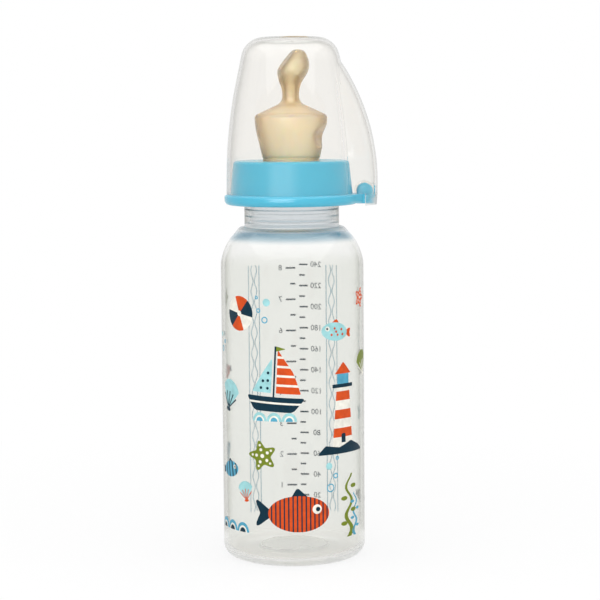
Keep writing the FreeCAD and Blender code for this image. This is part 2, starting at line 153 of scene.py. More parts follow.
def add_shader_mix(tree, share, first, second):
    """The shader of a Mix Shader node between the first outputs of two nodes."""
    node = add_node(tree, "MixShader")
    for value, socket in zip((share, first.outputs[0], second.outputs[0]), node.inputs):
        feed(tree, value, socket)
    return node.outputs[0]


def object_place(tree):
    """Places on a piece in the frame's own metres."""
    return add_node(tree, "TexCoord").outputs["Object"]


def bare_material(name):
    """A material with an empty node tree."""
    material = bpy.data.materials.new(name)
    material.use_nodes = True
    material.node_tree.nodes.clear()
    return material


print("node helpers ready, pure white is", WHITE)

# %% [markdown]
# ## Light and floor
# Clear plastic is photographed on white: what shows of it is the white behind it, a little darkened by
# the walls that the light has come through. So the world is plain white to rays from the camera, from
# reflections and through glass, and a softer white to everything that it lights. The floor does the
# same, but part of it stays an ordinary surface, which keeps the bottle's shadow.

# %% White world
WORLD_LIGHT = 0.44


def seen_ray(tree):
    """1 for a ray from the camera, a reflection or glass, which should meet the white background."""
    rays = add_node(tree, "LightPath").outputs
    direct = add_math(tree, "MAXIMUM", rays["Is Camera Ray"], rays["Is Glossy Ray"])
    return add_math(tree, "MAXIMUM", direct, rays["Is Transmission Ray"])


world = bpy.data.worlds.new("studio")
bpy.context.scene.world = world
world.use_nodes = True
sky = world.node_tree
sky.nodes.clear()
soft = add_node(sky, "Background", Color=WHITE, Strength=WORLD_LIGHT)
white = add_node(sky, "Background", Color=WHITE, Strength=1.0)
add_node(sky, "OutputWorld", Surface=add_shader_mix(sky, seen_ray(sky), soft, white))
bpy.context.scene.view_settings.view_transform = "Standard"
print("world lights at", WORLD_LIGHT)

# %% Floor
FLOOR_HALF = 6.0
FLOOR_DROP = 0.0002
PAPER_COLOUR = (0.9, 0.9, 0.9, 1)
SHADOW_REACH = 0.30
SHADOW_SHARE = 0.30

paper = bare_material("white_paper")
tree = paper.node_tree
matt = add_node(tree, "BsdfDiffuse", Color=PAPER_COLOUR)
glow = add_node(tree, "Emission", Color=WHITE, Strength=1.0)
away = add_node(tree, "VectorMath", "LENGTH", Vector=object_place(tree)).outputs["Value"]
fade = add_node(tree, "MapRange", Value=away, From_Max=SHADOW_REACH, To_Min=1 - SHADOW_SHARE)
fade.interpolation_type = "SMOOTHSTEP"
glow_share = add_math(tree, "MULTIPLY", fade.outputs[0], seen_ray(tree))
add_node(tree, "OutputMaterial", Surface=add_shader_mix(tree, glow_share, matt, glow))

sheet = bmesh.new()
bmesh.ops.create_grid(sheet, x_segments=1, y_segments=1, size=FLOOR_HALF)
bmesh.ops.translate(sheet, verts=sheet.verts, vec=(0, 0, -FLOOR_DROP))
floor_mesh = as_mesh("floor", sheet)
floor_mesh.materials.append(paper)
floor = placed("floor", floor_mesh)
print("floor is", 2 * FLOOR_HALF, "m across, its shadow fades out at", SHADOW_REACH, "m")

# %% Soft boxes
LAMPS = (
    # name, place in metres, width, height, watts, seen in reflections
    ("key_box", (0.12, -1.30, 0.50), 0.7, 0.9, 4.7, False),
    ("fill_box", (-0.70, -1.10, 0.40), 0.7, 0.9, 1.2, False),
    ("top_box", (0.0, -0.25, 0.9), 2.2, 1.5, 12.0, True),
)
LAMP_AIM = Vector((0, 0, 0.11))


def soft_box(name, place, width, height, watts, mirrored):
    """An area lamp that looks at the bottle."""
    lamp_data = bpy.data.lights.new(name, "AREA")
    lamp_data.shape = "RECTANGLE"
    lamp_data.size = width
    lamp_data.size_y = height
    lamp_data.energy = watts
    lamp = placed(name, lamp_data)
    lamp.location = place
    lamp.visible_glossy = mirrored
    lamp.visible_transmission = mirrored
    lamp.rotation_euler = (LAMP_AIM - Vector(place)).to_track_quat("-Z", "Y").to_euler()
    return lamp


for lamp_values in LAMPS:
    soft_box(*lamp_values)
print(len(LAMPS), "soft boxes")

# %% [markdown]
# ## Moulded plastic as a finish
# No moulding is perfectly even: the tool's polish leaves fine specks, and blown or poured walls wave a
# little. Both are the same for every plastic here, so they are one node group with its own inputs: it
# puts out a roughness that drifts over the surface and a height for a Bump node. A blown bottle also
# keeps a fine raised line where the two halves of its mould met, down both sides.

# %% Moulded surface group
PARTING_WIDTH = 0.0002
RELIEF_DEPTH = 0.0004


def new_group(name, inputs, outputs):
    """A shader node group with named sockets, and the sockets at its two inner ends."""
    group = bpy.data.node_groups.new(name, "ShaderNodeTree")
    kinds = {"Color": "NodeSocketColor"}
    for socket, value in inputs.items():
        kind = kinds.get(socket, "NodeSocketFloat")
        group.interface.new_socket(socket, in_out="INPUT", socket_type=kind).default_value = value
    for socket in outputs:
        group.interface.new_socket(socket, in_out="OUTPUT", socket_type=kinds.get(socket, "NodeSocketFloat"))
    return group, group.nodes.new("NodeGroupInput").outputs, group.nodes.new("NodeGroupOutput").inputs


def moulded_surface_group():
    """Waves, grain and a parting line, as a roughness and a height."""
    group, given, result = new_group(
        "moulded_surface",
        {
            "Roughness": 0.2, "Drift": 0.05, "Wave Size": 60.0, "Grain Size": 900.0, "Grain": 0.2,
            "Parting": 0.0,
        },
        ("Roughness", "Height"),
    )
    place = object_place(group)
    waves = add_node(group, "TexNoise", Vector=place, Scale=given["Wave Size"], Detail=2.0).outputs[0]
    grain = add_node(group, "TexNoise", Vector=place, Scale=given["Grain Size"], Detail=1.0).outputs[0]
    aside = add_math(group, "ABSOLUTE", add_node(group, "SeparateXYZ", Vector=place).outputs["Y"])
    line = add_node(group, "MapRange", Value=aside, From_Max=PARTING_WIDTH, To_Min=1.0, To_Max=0.0).outputs[0]
    height = add_math(group, "MULTIPLY_ADD", grain, given["Grain"], waves)
    height = add_math(group, "MULTIPLY_ADD", line, given["Parting"], height)
    roughness = add_math(group, "MULTIPLY_ADD", waves, given["Drift"], given["Roughness"])
    feed(group, roughness, result["Roughness"])
    feed(group, height, result["Height"])
    return group


MOULDED = moulded_surface_group()


def grouped_material(name, group, bump, depth, **finish):
    """A material with a Principled shader whose roughness, bump and perhaps colour come from a group."""
    material = bare_material(name)
    tree = material.node_tree
    surface = add_node(tree, "Group")
    surface.node_tree = group
    set_inputs(tree, surface, **finish)
    relief = add_node(tree, "Bump", Strength=bump, Distance=depth, Height=surface.outputs["Height"])
    shader = add_node(
        tree, "BsdfPrincipled", Roughness=surface.outputs["Roughness"], Normal=relief.outputs["Normal"],
    )
    if "Color" in surface.outputs:
        set_inputs(tree, shader, Base_Color=surface.outputs["Color"])
    output = add_node(tree, "OutputMaterial", Surface=shader.outputs[0])
    return material, shader, output


print("group", MOULDED.name)

# %% [markdown]
# ## Clear plastic
# The bottle and the cap are the same kind of plastic: nearly colourless, and grey where the line of sight
# runs along a wall. Real absorption inside so thin a wall is hardly seen, so that grey is painted shade on
# the surface: Layer Weight tells how edge-on the wall is, and a ramp turns that into a grey. A blown
# bottle is thicker at its neck and its heel, where it greys less at the edges and is a little cloudy, so
# three more ramps follow the height: how far the painted edge shade counts, a cast and the cloud. The casts
# are painted light: a brighter heel, a painted highlight and a painted blue reflection of the ring on the
# shoulder, and a painted highlight on the cap's top; the neck has a slight blue-grey cast. Lamps have to
# reach what stands behind the clear walls, so rays towards a lamp pass as through a thin grey film. So does
# light that would go on bouncing inside a wall, which a renderer gives up on and leaves black.

# %% Painted shade by edge, and casts by height
TINT_TOP = 0.210


def colour_ramp(tree, value, steps):
    """A ramp through (place, colour) steps, read at a value."""
    ramp = add_node(tree, "ValToRGB", Fac=value)
    marks = ramp.color_ramp.elements
    for index, (place, colour) in enumerate(steps):
        mark = marks[index] if index < len(marks) else marks.new(place)
        mark.position = place
        mark.color = (*colour, 1)
    return ramp.outputs["Color"]


def height_ramp(tree, steps):
    """A ramp through (height in millimetres, colour) steps up the piece."""
    height = add_node(tree, "SeparateXYZ", Vector=object_place(tree)).outputs["Z"]
    share = add_node(tree, "MapRange", Value=height, From_Max=TINT_TOP).outputs[0]
    return colour_ramp(tree, share, [(height * MM / TINT_TOP, colour) for height, colour in steps])


def height_share(tree, steps):
    """A ramp through (height in millimetres, share) steps up the piece."""
    return height_ramp(tree, [(height, (share,) * 3) for height, share in steps])


def edge_tint(tree, shader, greys, edges, casts):
    """Painted shade from face-on to edge-on, with how far it counts and a cast that both follow the height.
    """
    # The grey from this ramp is painted shade, strongest where a wall is seen edge-on.
    edge_on = add_node(tree, "LayerWeight", Blend=0.5).outputs["Facing"]
    counted = add_math(tree, "MULTIPLY", edge_on, height_share(tree, edges))
    grey = colour_ramp(tree, counted, greys)
    tint = add_colour_mix(tree, "MULTIPLY", 1.0, grey, height_ramp(tree, casts))
    feed(tree, tint, shader.inputs["Base Color"])


print("tints follow the height up to", TINT_TOP, "m")

# %% Light through walls
PLASTIC_IOR = 1.32
WALL_TINT = (0.80, 0.82, 0.80, 1)
WALL_DENSITY = 18.0
WALL_BOUNCES = 1.5


def let_lamps_through(tree, shader, output, film):
    """Rays to a lamp, light scattered inside and light caught in a wall pass it as a thin film."""
    rays = add_node(tree, "LightPath").outputs
    passed = add_math(tree, "GREATER_THAN", rays["Glossy Depth"], WALL_BOUNCES)
    for name in ("Is Shadow Ray", "Is Diffuse Ray"):
        passed = add_math(tree, "MAXIMUM", passed, rays[name])
    pane = add_node(tree, "BsdfTransparent", Color=film)
    feed(tree, add_shader_mix(tree, passed, shader, pane), output.inputs["Surface"])


def absorb(tree, output, colour, density):
    """Let the inside of a wall swallow a little light."""
    inside = add_node(tree, "VolumeAbsorption", Color=colour, Density=density)
    feed(tree, inside.outputs[0], output.inputs["Volume"])


def clear_plastic(name, greys, edges, casts, haze, film, bump, **finish):
    """See-through plastic with painted edge shade, casts and haze by height, a film for lamps and a little
    absorption.
    """
    material, shader, output = grouped_material(name, MOULDED, bump, RELIEF_DEPTH, **finish)
    tree = material.node_tree
    polish = shader.inputs["Roughness"].links[0].from_socket
    cloudy = add_math(tree, "ADD", polish, height_share(tree, haze))
    set_inputs(tree, shader, Roughness=cloudy, Transmission_Weight=1.0, IOR=PLASTIC_IOR)
    edge_tint(tree, shader, greys, edges, casts)
    let_lamps_through(tree, shader, output, film)
    absorb(tree, output, WALL_TINT, WALL_DENSITY)
    return material


print("clear walls have an index of refraction of", PLASTIC_IOR)

# %% Clear plastics
NO_CAST = (1.0, 1.0, 1.0)
# Painted light: the heel and the pushed-up base are brightened a little.
HEEL_PAINTED_LIGHT = (1.04, 1.025, 1.02)
# Painted highlight on the shoulder's round, just under the cone.
SHOULDER_HIGHLIGHT = (1.075, 1.07, 1.09)
# Painted reflection: the blue of the ring laid on the shoulder's cone under the ledge.
SHOULDER_RING_REFLECTION = (0.43, 0.585, 0.69)
NECK_CAST = (0.93, 0.945, 0.985)
# Painted highlight on the cap's flat top.
CAP_TOP_HIGHLIGHT = (1.05, 1.05, 1.05)
BOTTLE_FILM = (0.93, 0.93, 0.93, 1)
CAP_FILM = (0.985, 0.985, 0.985, 1)

BOTTLE_PLASTIC = clear_plastic(
    "bottle_plastic",
    greys=(
        (0.0, (0.905, 0.91, 0.885)), (0.50, (0.885, 0.89, 0.865)), (0.62, (0.83, 0.835, 0.80)),
        (0.72, (0.66, 0.665, 0.62)), (0.80, (0.40, 0.40, 0.35)), (0.90, (0.22, 0.22, 0.19)),
    ),
    edges=(
        (0, 0.3), (4, 0.45), (12, 1.05), (118, 1.05), (125, 0.85), (128, 0.6), (131.0, 0.3), (132.0, 0.4),
        (133.0, 1.15), (210, 1.15),
    ),
    casts=(
        (0, HEEL_PAINTED_LIGHT), (4.5, HEEL_PAINTED_LIGHT), (9, NO_CAST), (117, NO_CAST), (122, SHOULDER_HIGHLIGHT),
        (125.8, SHOULDER_HIGHLIGHT), (127.6, SHOULDER_RING_REFLECTION), (129.4, SHOULDER_RING_REFLECTION), (130.2, NECK_CAST),
    ),
    haze=((0, 0.23), (3.5, 0.23), (9, 0.0), (129.5, 0.0), (130.2, 0.45), (131.6, 0.45), (132.4, 0.19)),
    film=BOTTLE_FILM, bump=0.012,
    Roughness=0.03, Drift=0.06, Wave_Size=45.0, Grain_Size=1400.0, Grain=0.05, Parting=1.0,
)
CAP_PLASTIC = clear_plastic(
    "cap_plastic",
    greys=(
        (0.0, (0.95, 0.94, 0.92)), (0.35, (0.94, 0.93, 0.91)), (0.50, (0.88, 0.87, 0.85)),
        (0.62, (0.76, 0.75, 0.73)), (0.72, (0.56, 0.55, 0.53)), (0.85, (0.36, 0.36, 0.34)),
    ),
    edges=((0, 1.0), (204.6, 1.0), (205.4, 1.6), (210, 1.6)),
    casts=((0, NO_CAST), (196, NO_CAST), (203, CAP_TOP_HIGHLIGHT)),
    haze=((0, 0.25), (144.0, 0.25), (145.5, 0.0)),
    film=CAP_FILM, bump=0.012,
    Roughness=0.01, Drift=0.03, Wave_Size=40.0, Grain_Size=1400.0, Grain=0.03,
)
print("clear plastics:", BOTTLE_PLASTIC.name, CAP_PLASTIC.name)

# %% [markdown]
# ## Turned shapes
# A bottle is a shape of revolution, so one outline is drawn in the plane of the axis and spun. The
# outline is a chain of corners; a vertex bevel rounds each corner before the spin, which is far lighter
# than bevelling the finished solid. Walls with an inside are drawn as one outline too, out along the
# outer face and back along the inner one, so the wall is real.

# %% Outline and spin helpers
TURN_STEPS = 144
MERGE = 1e-7
ROUND_STEPS = 8


def rounded(bm, geom, reach, steps, affect):
    """Bevel vertices or edges round, from so many millimetres off."""
    bmesh.ops.bevel(
        bm, geom=geom, offset=reach * MM, offset_type="OFFSET", segments=steps,
        profile=0.5, affect=affect, material=-1,
    )


def face_out(bm):
    """Turn every face outwards."""
    bmesh.ops.recalc_face_normals(bm, faces=bm.faces[:])


def outline(corners, closed=False):
    """A bmesh with (across, height, round) corners in millimetres joined by edges."""
    bm = bmesh.new()
    spots = [bm.verts.new((across * MM, 0, height * MM)) for across, height, _ in corners]
    for start, end in zip(spots, spots[1:] + spots[:1] if closed else spots[1:]):
        bm.edges.new((start, end))
    places = [spot.co.copy() for spot in spots]
    for index, (spot, (_, _, radius)) in enumerate(zip(spots, corners)):
        if radius:
            here = places[index]
            half_turn = (here - places[index - 1]).angle(places[(index + 1) % len(places)] - here) / 2
            rounded(bm, [spot], radius * math.tan(half_turn), ROUND_STEPS, "VERTICES")
    return bm


def turned(bm, steps=TURN_STEPS):
    """Spin an outline once round the axis, close its poles and face it outwards."""
    bmesh.ops.spin(
        bm, geom=bm.verts[:] + bm.edges[:], cent=(0, 0, 0), axis=(0, 0, 1),
        angle=math.tau, steps=steps, use_merge=True,
    )
    bmesh.ops.remove_doubles(bm, verts=bm.verts[:], dist=MERGE)
    face_out(bm)
    return bm


print("a turn has", TURN_STEPS, "steps and a round", ROUND_STEPS)

# %% Piece and Boolean helpers
def finish_piece(name, bm, materials, body, crease=40.0):
    """Make the bmesh a smooth-shaded object that rides on a body."""
    mesh = as_mesh(name, bm)
    for material in materials:
        mesh.materials.append(material)
    mesh.shade_smooth()
    mesh.set_sharp_from_angle(angle=math.radians(crease))
    piece = placed(name, mesh)
    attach(piece, body)
    print(f"{name}: {len(mesh.polygons)} faces")
    return piece


def combine(base, tool, operation):
    """Apply an exact Boolean of two closed bmeshes and return the result."""
    steps = [placed("step", as_mesh("step", solid)) for solid in (base, tool)]
    cutter = steps[0].modifiers.new("boolean", "BOOLEAN")
    cutter.operation = operation
    cutter.solver = "EXACT"
    cutter.object = steps[1]
    result = bmesh.new()
    result.from_object(steps[0], bpy.context.evaluated_depsgraph_get())
    for step in steps:
        bpy.data.meshes.remove(step.data)
    return result


# %% [markdown]
# ## Screw thread
# The neck's thread stands out and the ring's stands in. Both are the same small ridge: a rounded outline
# that is spun round the axis while every step lifts it, which makes a helix. They share one pitch and lie
# half a pitch apart, so the ring can turn and rise without touching the neck.

# %% Thread helper
THREAD_PITCH = 4.0
THREAD_STEPS = 72
RIDGE_ROOT_HALF = 1.0
RIDGE_TIP_HALF = 0.4
RIDGE_ROUND = 0.2


def thread(root, tip, foot, turns):
    """A closed helical ridge from a root radius to a tip radius, starting at a height."""
    ridge_outline = (
        (root, foot - RIDGE_ROOT_HALF, 0), (tip, foot - RIDGE_TIP_HALF, RIDGE_ROUND),
        (tip, foot + RIDGE_TIP_HALF, RIDGE_ROUND), (root, foot + RIDGE_ROOT_HALF, 0),
    )
    ridge = outline(ridge_outline, closed=True)
    bmesh.ops.contextual_create(ridge, geom=ridge.edges[:])
    steps = round(turns * THREAD_STEPS)
    bmesh.ops.spin(
        ridge, geom=ridge.verts[:] + ridge.edges[:] + ridge.faces[:], cent=(0, 0, 0), axis=(0, 0, 1),
        angle=turns * math.tau, steps=steps, dvec=(0, 0, THREAD_PITCH * MM * turns / steps),
    )
    face_out(ridge)
    return ridge


print("thread with a pitch of", THREAD_PITCH, "mm")

# %% [markdown]
# ## The bottle
# A blown bottle: it stands on a narrow ring, its underside is pushed up in two steps, the barrel is
# straight, and a wide round leads into a short cone, a ledge and the neck. Inside the neck the blow pin
# has left three shallow ridges.

# %% Bottle shell
BODY_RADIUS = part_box("bottle_body")[1][0] / MM
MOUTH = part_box("bottle_body")[1][2] / MM
WALL = 1.3
FLOOR_WALL = 1.5
FIRST_STEP = 1.0
SECOND_STEP = 2.6
HEEL_ROUND = 5.0
SHOULDER = 122.8
SHOULDER_ROUND = 17.5
LEDGE = 131.4
LEDGE_RADIUS = 20.5
NECK_RADIUS = 18.7
NECK_BORE = 17.0
PIN_RIDGE = 0.2
PIN_SLOPE = 0.6
PIN_ROUND = 0.4

neck_inside = [(NECK_BORE, MOUTH, 0.5)]
for ridge_top in (139.8, 137.2, 134.6):
    for step, depth in enumerate((0, PIN_RIDGE, PIN_RIDGE, 0)):
        neck_inside.append((NECK_BORE - depth, ridge_top - step * PIN_SLOPE, PIN_ROUND))
bottle_outline = (
    (0.0, SECOND_STEP, 0), (13.2, SECOND_STEP, 1.2), (14.4, FIRST_STEP, 1.2), (19.8, FIRST_STEP, 1.2),
    (20.8, 0.0, 1.2), (BODY_RADIUS, 0.0, HEEL_ROUND), (BODY_RADIUS, SHOULDER, SHOULDER_ROUND),
    (LEDGE_RADIUS, LEDGE, 1.5), (NECK_RADIUS, LEDGE, 0.5), (NECK_RADIUS, MOUTH, 0.5),
    *neck_inside, (NECK_BORE, LEDGE - WALL, 0.6), (19.93, LEDGE - WALL, 0.8),
    (BODY_RADIUS - WALL, SHOULDER - 0.5, SHOULDER_ROUND - WALL),
    (BODY_RADIUS - WALL, FIRST_STEP + FLOOR_WALL, HEEL_ROUND - WALL), (14.4, FIRST_STEP + FLOOR_WALL, 0.8),
    (13.2, SECOND_STEP + FLOOR_WALL, 0.8), (0.0, SECOND_STEP + FLOOR_WALL, 0),
)
neck_thread = thread(root=18.4, tip=19.8, foot=144.0, turns=2.0)
bottle_mesh = combine(turned(outline(bottle_outline)), neck_thread, "UNION")
bottle = finish_piece("bottle_shell", bottle_mesh, [BOTTLE_PLASTIC], "bottle")
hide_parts("bottle_body")

# %% [markdown]
# ## Printing ink
# The barrel is screen printed. Such ink lies on the plastic as a thin, nearly matt film whose coverage
# wavers and has pinholes where the mesh of the screen was. All the inks share that, so it is one node
# group that takes the ink's colour and puts out the mottled colour, a roughness and a height.

# %% Ink group
BARE_PLASTIC = (0.86, 0.87, 0.85, 1)


def ink_group():
    """A mottled colour with pinholes, a roughness and a height from an ink's colour."""
    group, given, result = new_group(
        "screen_print",
        {"Color": WHITE, "Mottle": 0.12, "Mottle Size": 420.0, "Pinholes": 0.18, "Screen Size": 3200.0},
        ("Color", "Roughness", "Height"),
    )
    place = object_place(group)
    cover = add_node(group, "TexNoise", Vector=place, Scale=given["Mottle Size"], Detail=3.0).outputs[0]
    mesh = add_node(group, "TexVoronoi", Vector=place, Scale=given["Screen Size"], Randomness=0.55)
    mesh = mesh.outputs["Distance"]
    waver = add_node(group, "MapRange", Value=cover, From_Min=0.3, From_Max=0.7, To_Min=-1.0).outputs[0]
    amount = add_math(group, "MULTIPLY_ADD", waver, given["Mottle"], 1.0)
    shade = add_node(group, "VectorMath", "SCALE", Vector=given["Color"], Scale=amount).outputs[0]
    hole = add_node(group, "MapRange", Value=mesh, From_Min=0.16, From_Max=0.06).outputs[0]
    thin = add_math(group, "MULTIPLY", hole, given["Pinholes"])
    gloss = add_node(group, "MapRange", Value=cover, To_Min=0.34, To_Max=0.5).outputs[0]
    feed(group, add_colour_mix(group, "MIX", thin, shade, BARE_PLASTIC), result["Color"])
    feed(group, gloss, result["Roughness"])
    feed(group, mesh, result["Height"])
    return group


SCREEN_PRINT = ink_group()
print("group", SCREEN_PRINT.name)

# %% Inks
INK_COLOURS = {
    "orange": (0.62, 0.075, 0.012),
    "deep_teal": (0.002, 0.026, 0.046),
    "sky": (0.085, 0.35, 0.50),
    "aqua": (0.32, 0.61, 0.63),
    "olive": (0.17, 0.22, 0.02),
    "cream": (0.80, 0.78, 0.70),
}
INK_GLOSS = 0.12
INK_BUMP = 0.06
INK_RELIEF = 0.0001


def ink_material(name, colour):
    """One ink: the group's film under a weakly glossy shader."""
    colour = (*colour, 1)
    material, shader, _ = grouped_material("ink_" + name, SCREEN_PRINT, INK_BUMP, INK_RELIEF, Color=colour)
    set_inputs(material.node_tree, shader, Specular_IOR_Level=INK_GLOSS)
    return material


INKS = [ink_material(name, colour) for name, colour in INK_COLOURS.items()]
ORANGE, TEAL, SKY, AQUA, OLIVE, CREAM = range(len(INKS))
print("inks:", ", ".join(INK_COLOURS))

# %% [markdown]
# ## Flat shapes for the print
# A print is drawn flat and wrapped afterwards. Every motif here is a few flat faces in millimetres: ovals,
# patches with rounded corners, and bands that are cut by planes. A later ink lies over an earlier one, so
# each shape also carries a layer.

# %% Flat shape helpers
OVAL_SIDES = 40
DOT_SIDES = 20
UPWARDS = math.radians(90)
UPRIGHT = Matrix.Rotation(math.radians(90), 4, "X")


def inked(bm, ink):
    """Give every face of a flat shape one ink."""
    for face in bm.faces:
        face.material_index = ink
    return bm


def sized(size, *corners):
    """Corners with places that are shares of a size, and rounds in millimetres."""
    return [(across * size, up * size, radius) for across, up, radius in corners]


def patch(corners, ink):
    """A face with (across, up, round) corners."""
    bm = outline(corners, closed=True)
    bmesh.ops.contextual_create(bm, geom=bm.edges[:])
    return inked(bm, ink)


def patches(size, *rows):
    """(patch, layer) pairs from rows of an ink, a layer and corners as shares of a size."""
    return [(patch(sized(size, *corners), ink), layer) for ink, layer, *corners in rows]


def oval(across, up, ink, at=(0, 0), sides=OVAL_SIDES):
    """A filled oval with half sizes, at a place."""
    bm = bmesh.new()
    place = Matrix.Translation((at[0] * MM, 0, at[1] * MM)) @ Matrix.Diagonal((across * MM, 1, up * MM, 1))
    bmesh.ops.create_circle(bm, cap_ends=True, segments=sides, radius=1, matrix=place @ UPRIGHT)
    return inked(bm, ink)


def dot(radius, ink, at=(0, 0), sides=DOT_SIDES):
    """A filled circle at a place."""
    return oval(radius, radius, ink, at, sides)


def dots(size, radius, ink, layer, *spots):
    """(dot, layer) pairs with a radius and places that are shares of a size."""
    return [(dot(radius * size, ink, (across * size, up * size)), layer) for across, up in spots]


def ringlet(radius, width, ink, at=(0, 0)):
    """A round line: a circle whose inset middle is taken out."""
    bm = dot(radius, ink, at, OVAL_SIDES)
    middle = bm.faces[:]
    bmesh.ops.inset_region(bm, faces=middle, thickness=width * MM, use_boundary=True, use_even_offset=True)
    bmesh.ops.delete(bm, geom=middle, context="FACES")
    return bm


def cut_flat(bm, along, place, drop=False):
    """Cut a flat shape square to a direction, and drop what lies past the cut if asked to."""
    bmesh.ops.bisect_plane(
        bm, geom=bm.verts[:] + bm.edges[:] + bm.faces[:], dist=MERGE, plane_co=along * place, plane_no=along,
        clear_outer=drop,
    )


def banded(bm, inks, widths, turn=0.0):
    """Cut a flat shape into bands square to a direction and ink them by turns."""
    along = Vector((math.cos(turn), 0, math.sin(turn)))
    reach = [vert.co.dot(along) for vert in bm.verts]
    cuts = [min(reach)]
    while cuts[-1] < max(reach):
        cuts.append(cuts[-1] + widths[(len(cuts) - 1) % len(widths)] * MM)
    for cut in cuts[1:-1]:
        cut_flat(bm, along, cut)
    for face in bm.faces:
        here = face.calc_center_median().dot(along)
        face.material_index = inks[(sum(cut < here for cut in cuts) - 1) % len(inks)]
    return bm


print("ovals have", OVAL_SIDES, "sides and dots", DOT_SIDES)

# %% Sheet of print
INK_FILM = 0.02
INK_LAYER = 0.03
SLICE = 1.5


def lay(sheet, shapes, at, turn=0.0, scale=1.0):
    """Put (shape, layer) pairs on the sheet at a place, turned and scaled."""
    for shape, layer in shapes:
        place = (
            Matrix.Translation((at[0] * MM, -INK_LAYER * (layer + 1) * MM, at[1] * MM))
            @ Matrix.Rotation(-math.radians(turn), 4, "Y") @ Matrix.Diagonal((scale, 1, abs(scale), 1))
        )
        bmesh.ops.transform(shape, matrix=place, verts=shape.verts[:])
        step = as_mesh("print_step", shape)
        sheet.from_mesh(step)
        bpy.data.meshes.remove(step)


def wrapped(sheet):
    """Give the flat print its thickness, slice it upright and bend it round the barrel."""
    for face in sheet.faces:
        face.normal_update()
    bmesh.ops.reverse_faces(sheet, faces=[face for face in sheet.faces if face.normal.y > 0])
    bmesh.ops.solidify(sheet, geom=sheet.faces[:], thickness=INK_FILM * MM)
    face_out(sheet)
    reach = [vert.co.x / MM for vert in sheet.verts]
    for step in range(math.ceil(min(reach) / SLICE), math.ceil(max(reach) / SLICE)):
        cut_flat(sheet, Vector((1, 0, 0)), step * SLICE * MM)
    for vert in sheet.verts:
        around = vert.co.x / (BODY_RADIUS * MM)
        radius = BODY_RADIUS * MM - vert.co.y
        vert.co = (radius * math.sin(around), -radius * math.cos(around), vert.co.z)
    return sheet


print("ink films are", INK_FILM, "mm thick and", INK_LAYER, "mm apart")

# %% [markdown]
# ## Motifs
# The print is a plain seaside theme in the colours of such bottles. Each motif is a small function, so
# that it can be laid on the sheet several times, turned, scaled or mirrored. Inside a motif the places are
# shares of its size.

# %% Fish and starfish
def fish(length, skin, trim, belts=()):
    """A fish that swims to the right, belted or dotted."""
    body = oval(0.36 * length, 0.21 * length, skin)
    shapes = patches(
        length,
        (trim, 0, (-0.28, 0, 0.5), (-0.56, 0.21, 1.2), (-0.46, 0, 1.0), (-0.56, -0.21, 1.2)),
        (trim, 0, (-0.12, 0.14, 0.3), (-0.02, 0.31, 1.0), (0.14, 0.16, 0.3)),
    )
    shapes += [
        (banded(body, (skin, trim), belts) if belts else body, 1),
        (dot(0.055 * length, CREAM, (0.21 * length, 0.05 * length), OVAL_SIDES), 2),
        (dot(0.026 * length, TEAL, (0.22 * length, 0.05 * length), OVAL_SIDES), 3),
    ]
    if not belts:
        spots = ((-0.18, 0.06), (-0.08, -0.07), (0.02, 0.07), (0.09, -0.08), (-0.22, -0.05), (-0.03, 0.0))
        shapes += dots(length, 0.028, trim, 2, *spots)
    return shapes


STAR_ARMS = 5


def starfish(radius, skin, trim):
    """Rounded arms with a row of dots on each."""
    corners = []
    dots = [(dot(0.11 * radius, trim), 1)]
    for arm in range(STAR_ARMS):
        angle = math.radians(90 + 360 / STAR_ARMS * arm)
        hollow = math.radians(90 + 360 / STAR_ARMS * (arm + 0.5))
        for turn, reach, soft in ((angle, 1.0, 0.14), (hollow, 0.46, 0.12)):
            corners.append((radius * reach * math.cos(turn), radius * reach * math.sin(turn), radius * soft))
        for reach, size in ((0.34, 0.085), (0.58, 0.065)):
            spot = (radius * reach * math.cos(angle), radius * reach * math.sin(angle))
            dots.append((dot(radius * size, trim, spot), 1))
    return [(patch(corners, skin), 0), *dots]


print("drawn flat: fish, starfish")

# %% Boat and lighthouse
def sailboat(height, hull, main, jib):
    """A small boat with a belted hull and main sail, a dotted jib and a pennant."""
    keel = 0.12 * height
    shapes = patches(
        height,
        (hull, 0, (-0.46, 0.23, 0.6), (0.50, 0.23, 0.6), (0.32, 0, keel), (-0.32, 0, keel)),
        (TEAL, 0, (-0.012, 0.22, 0), (0.016, 0.22, 0), (0.016, 1.02, 0), (-0.012, 1.02, 0)),
        (main, 0, (0.04, 0.29, 0.3), (0.04, 0.97, 0.3), (0.30, 0.62, 0.5 * height), (0.43, 0.29, 0.4)),
        (jib, 0, (-0.04, 0.29, 0.3), (-0.36, 0.29, 0.4), (-0.22, 0.55, 0.6 * height), (-0.04, 0.84, 0.3)),
        (OLIVE, 0, (0.016, 1.02, 0), (0.17, 0.985, 0.2), (0.016, 0.94, 0)),
    )
    (boards, _), _, (main_sail, _), *_ = shapes
    banded(boards, (hull, CREAM, hull), (0.12 * height, 0.03 * height, height), UPWARDS)
    banded(main_sail, (main, CREAM), (0.11 * height, 0.035 * height), UPWARDS)
    spots = ((-0.10, 0.36), (-0.21, 0.36), (-0.10, 0.48), (-0.18, 0.47), (-0.10, 0.60))
    return shapes + dots(height, 0.022, TEAL, 1, *spots)


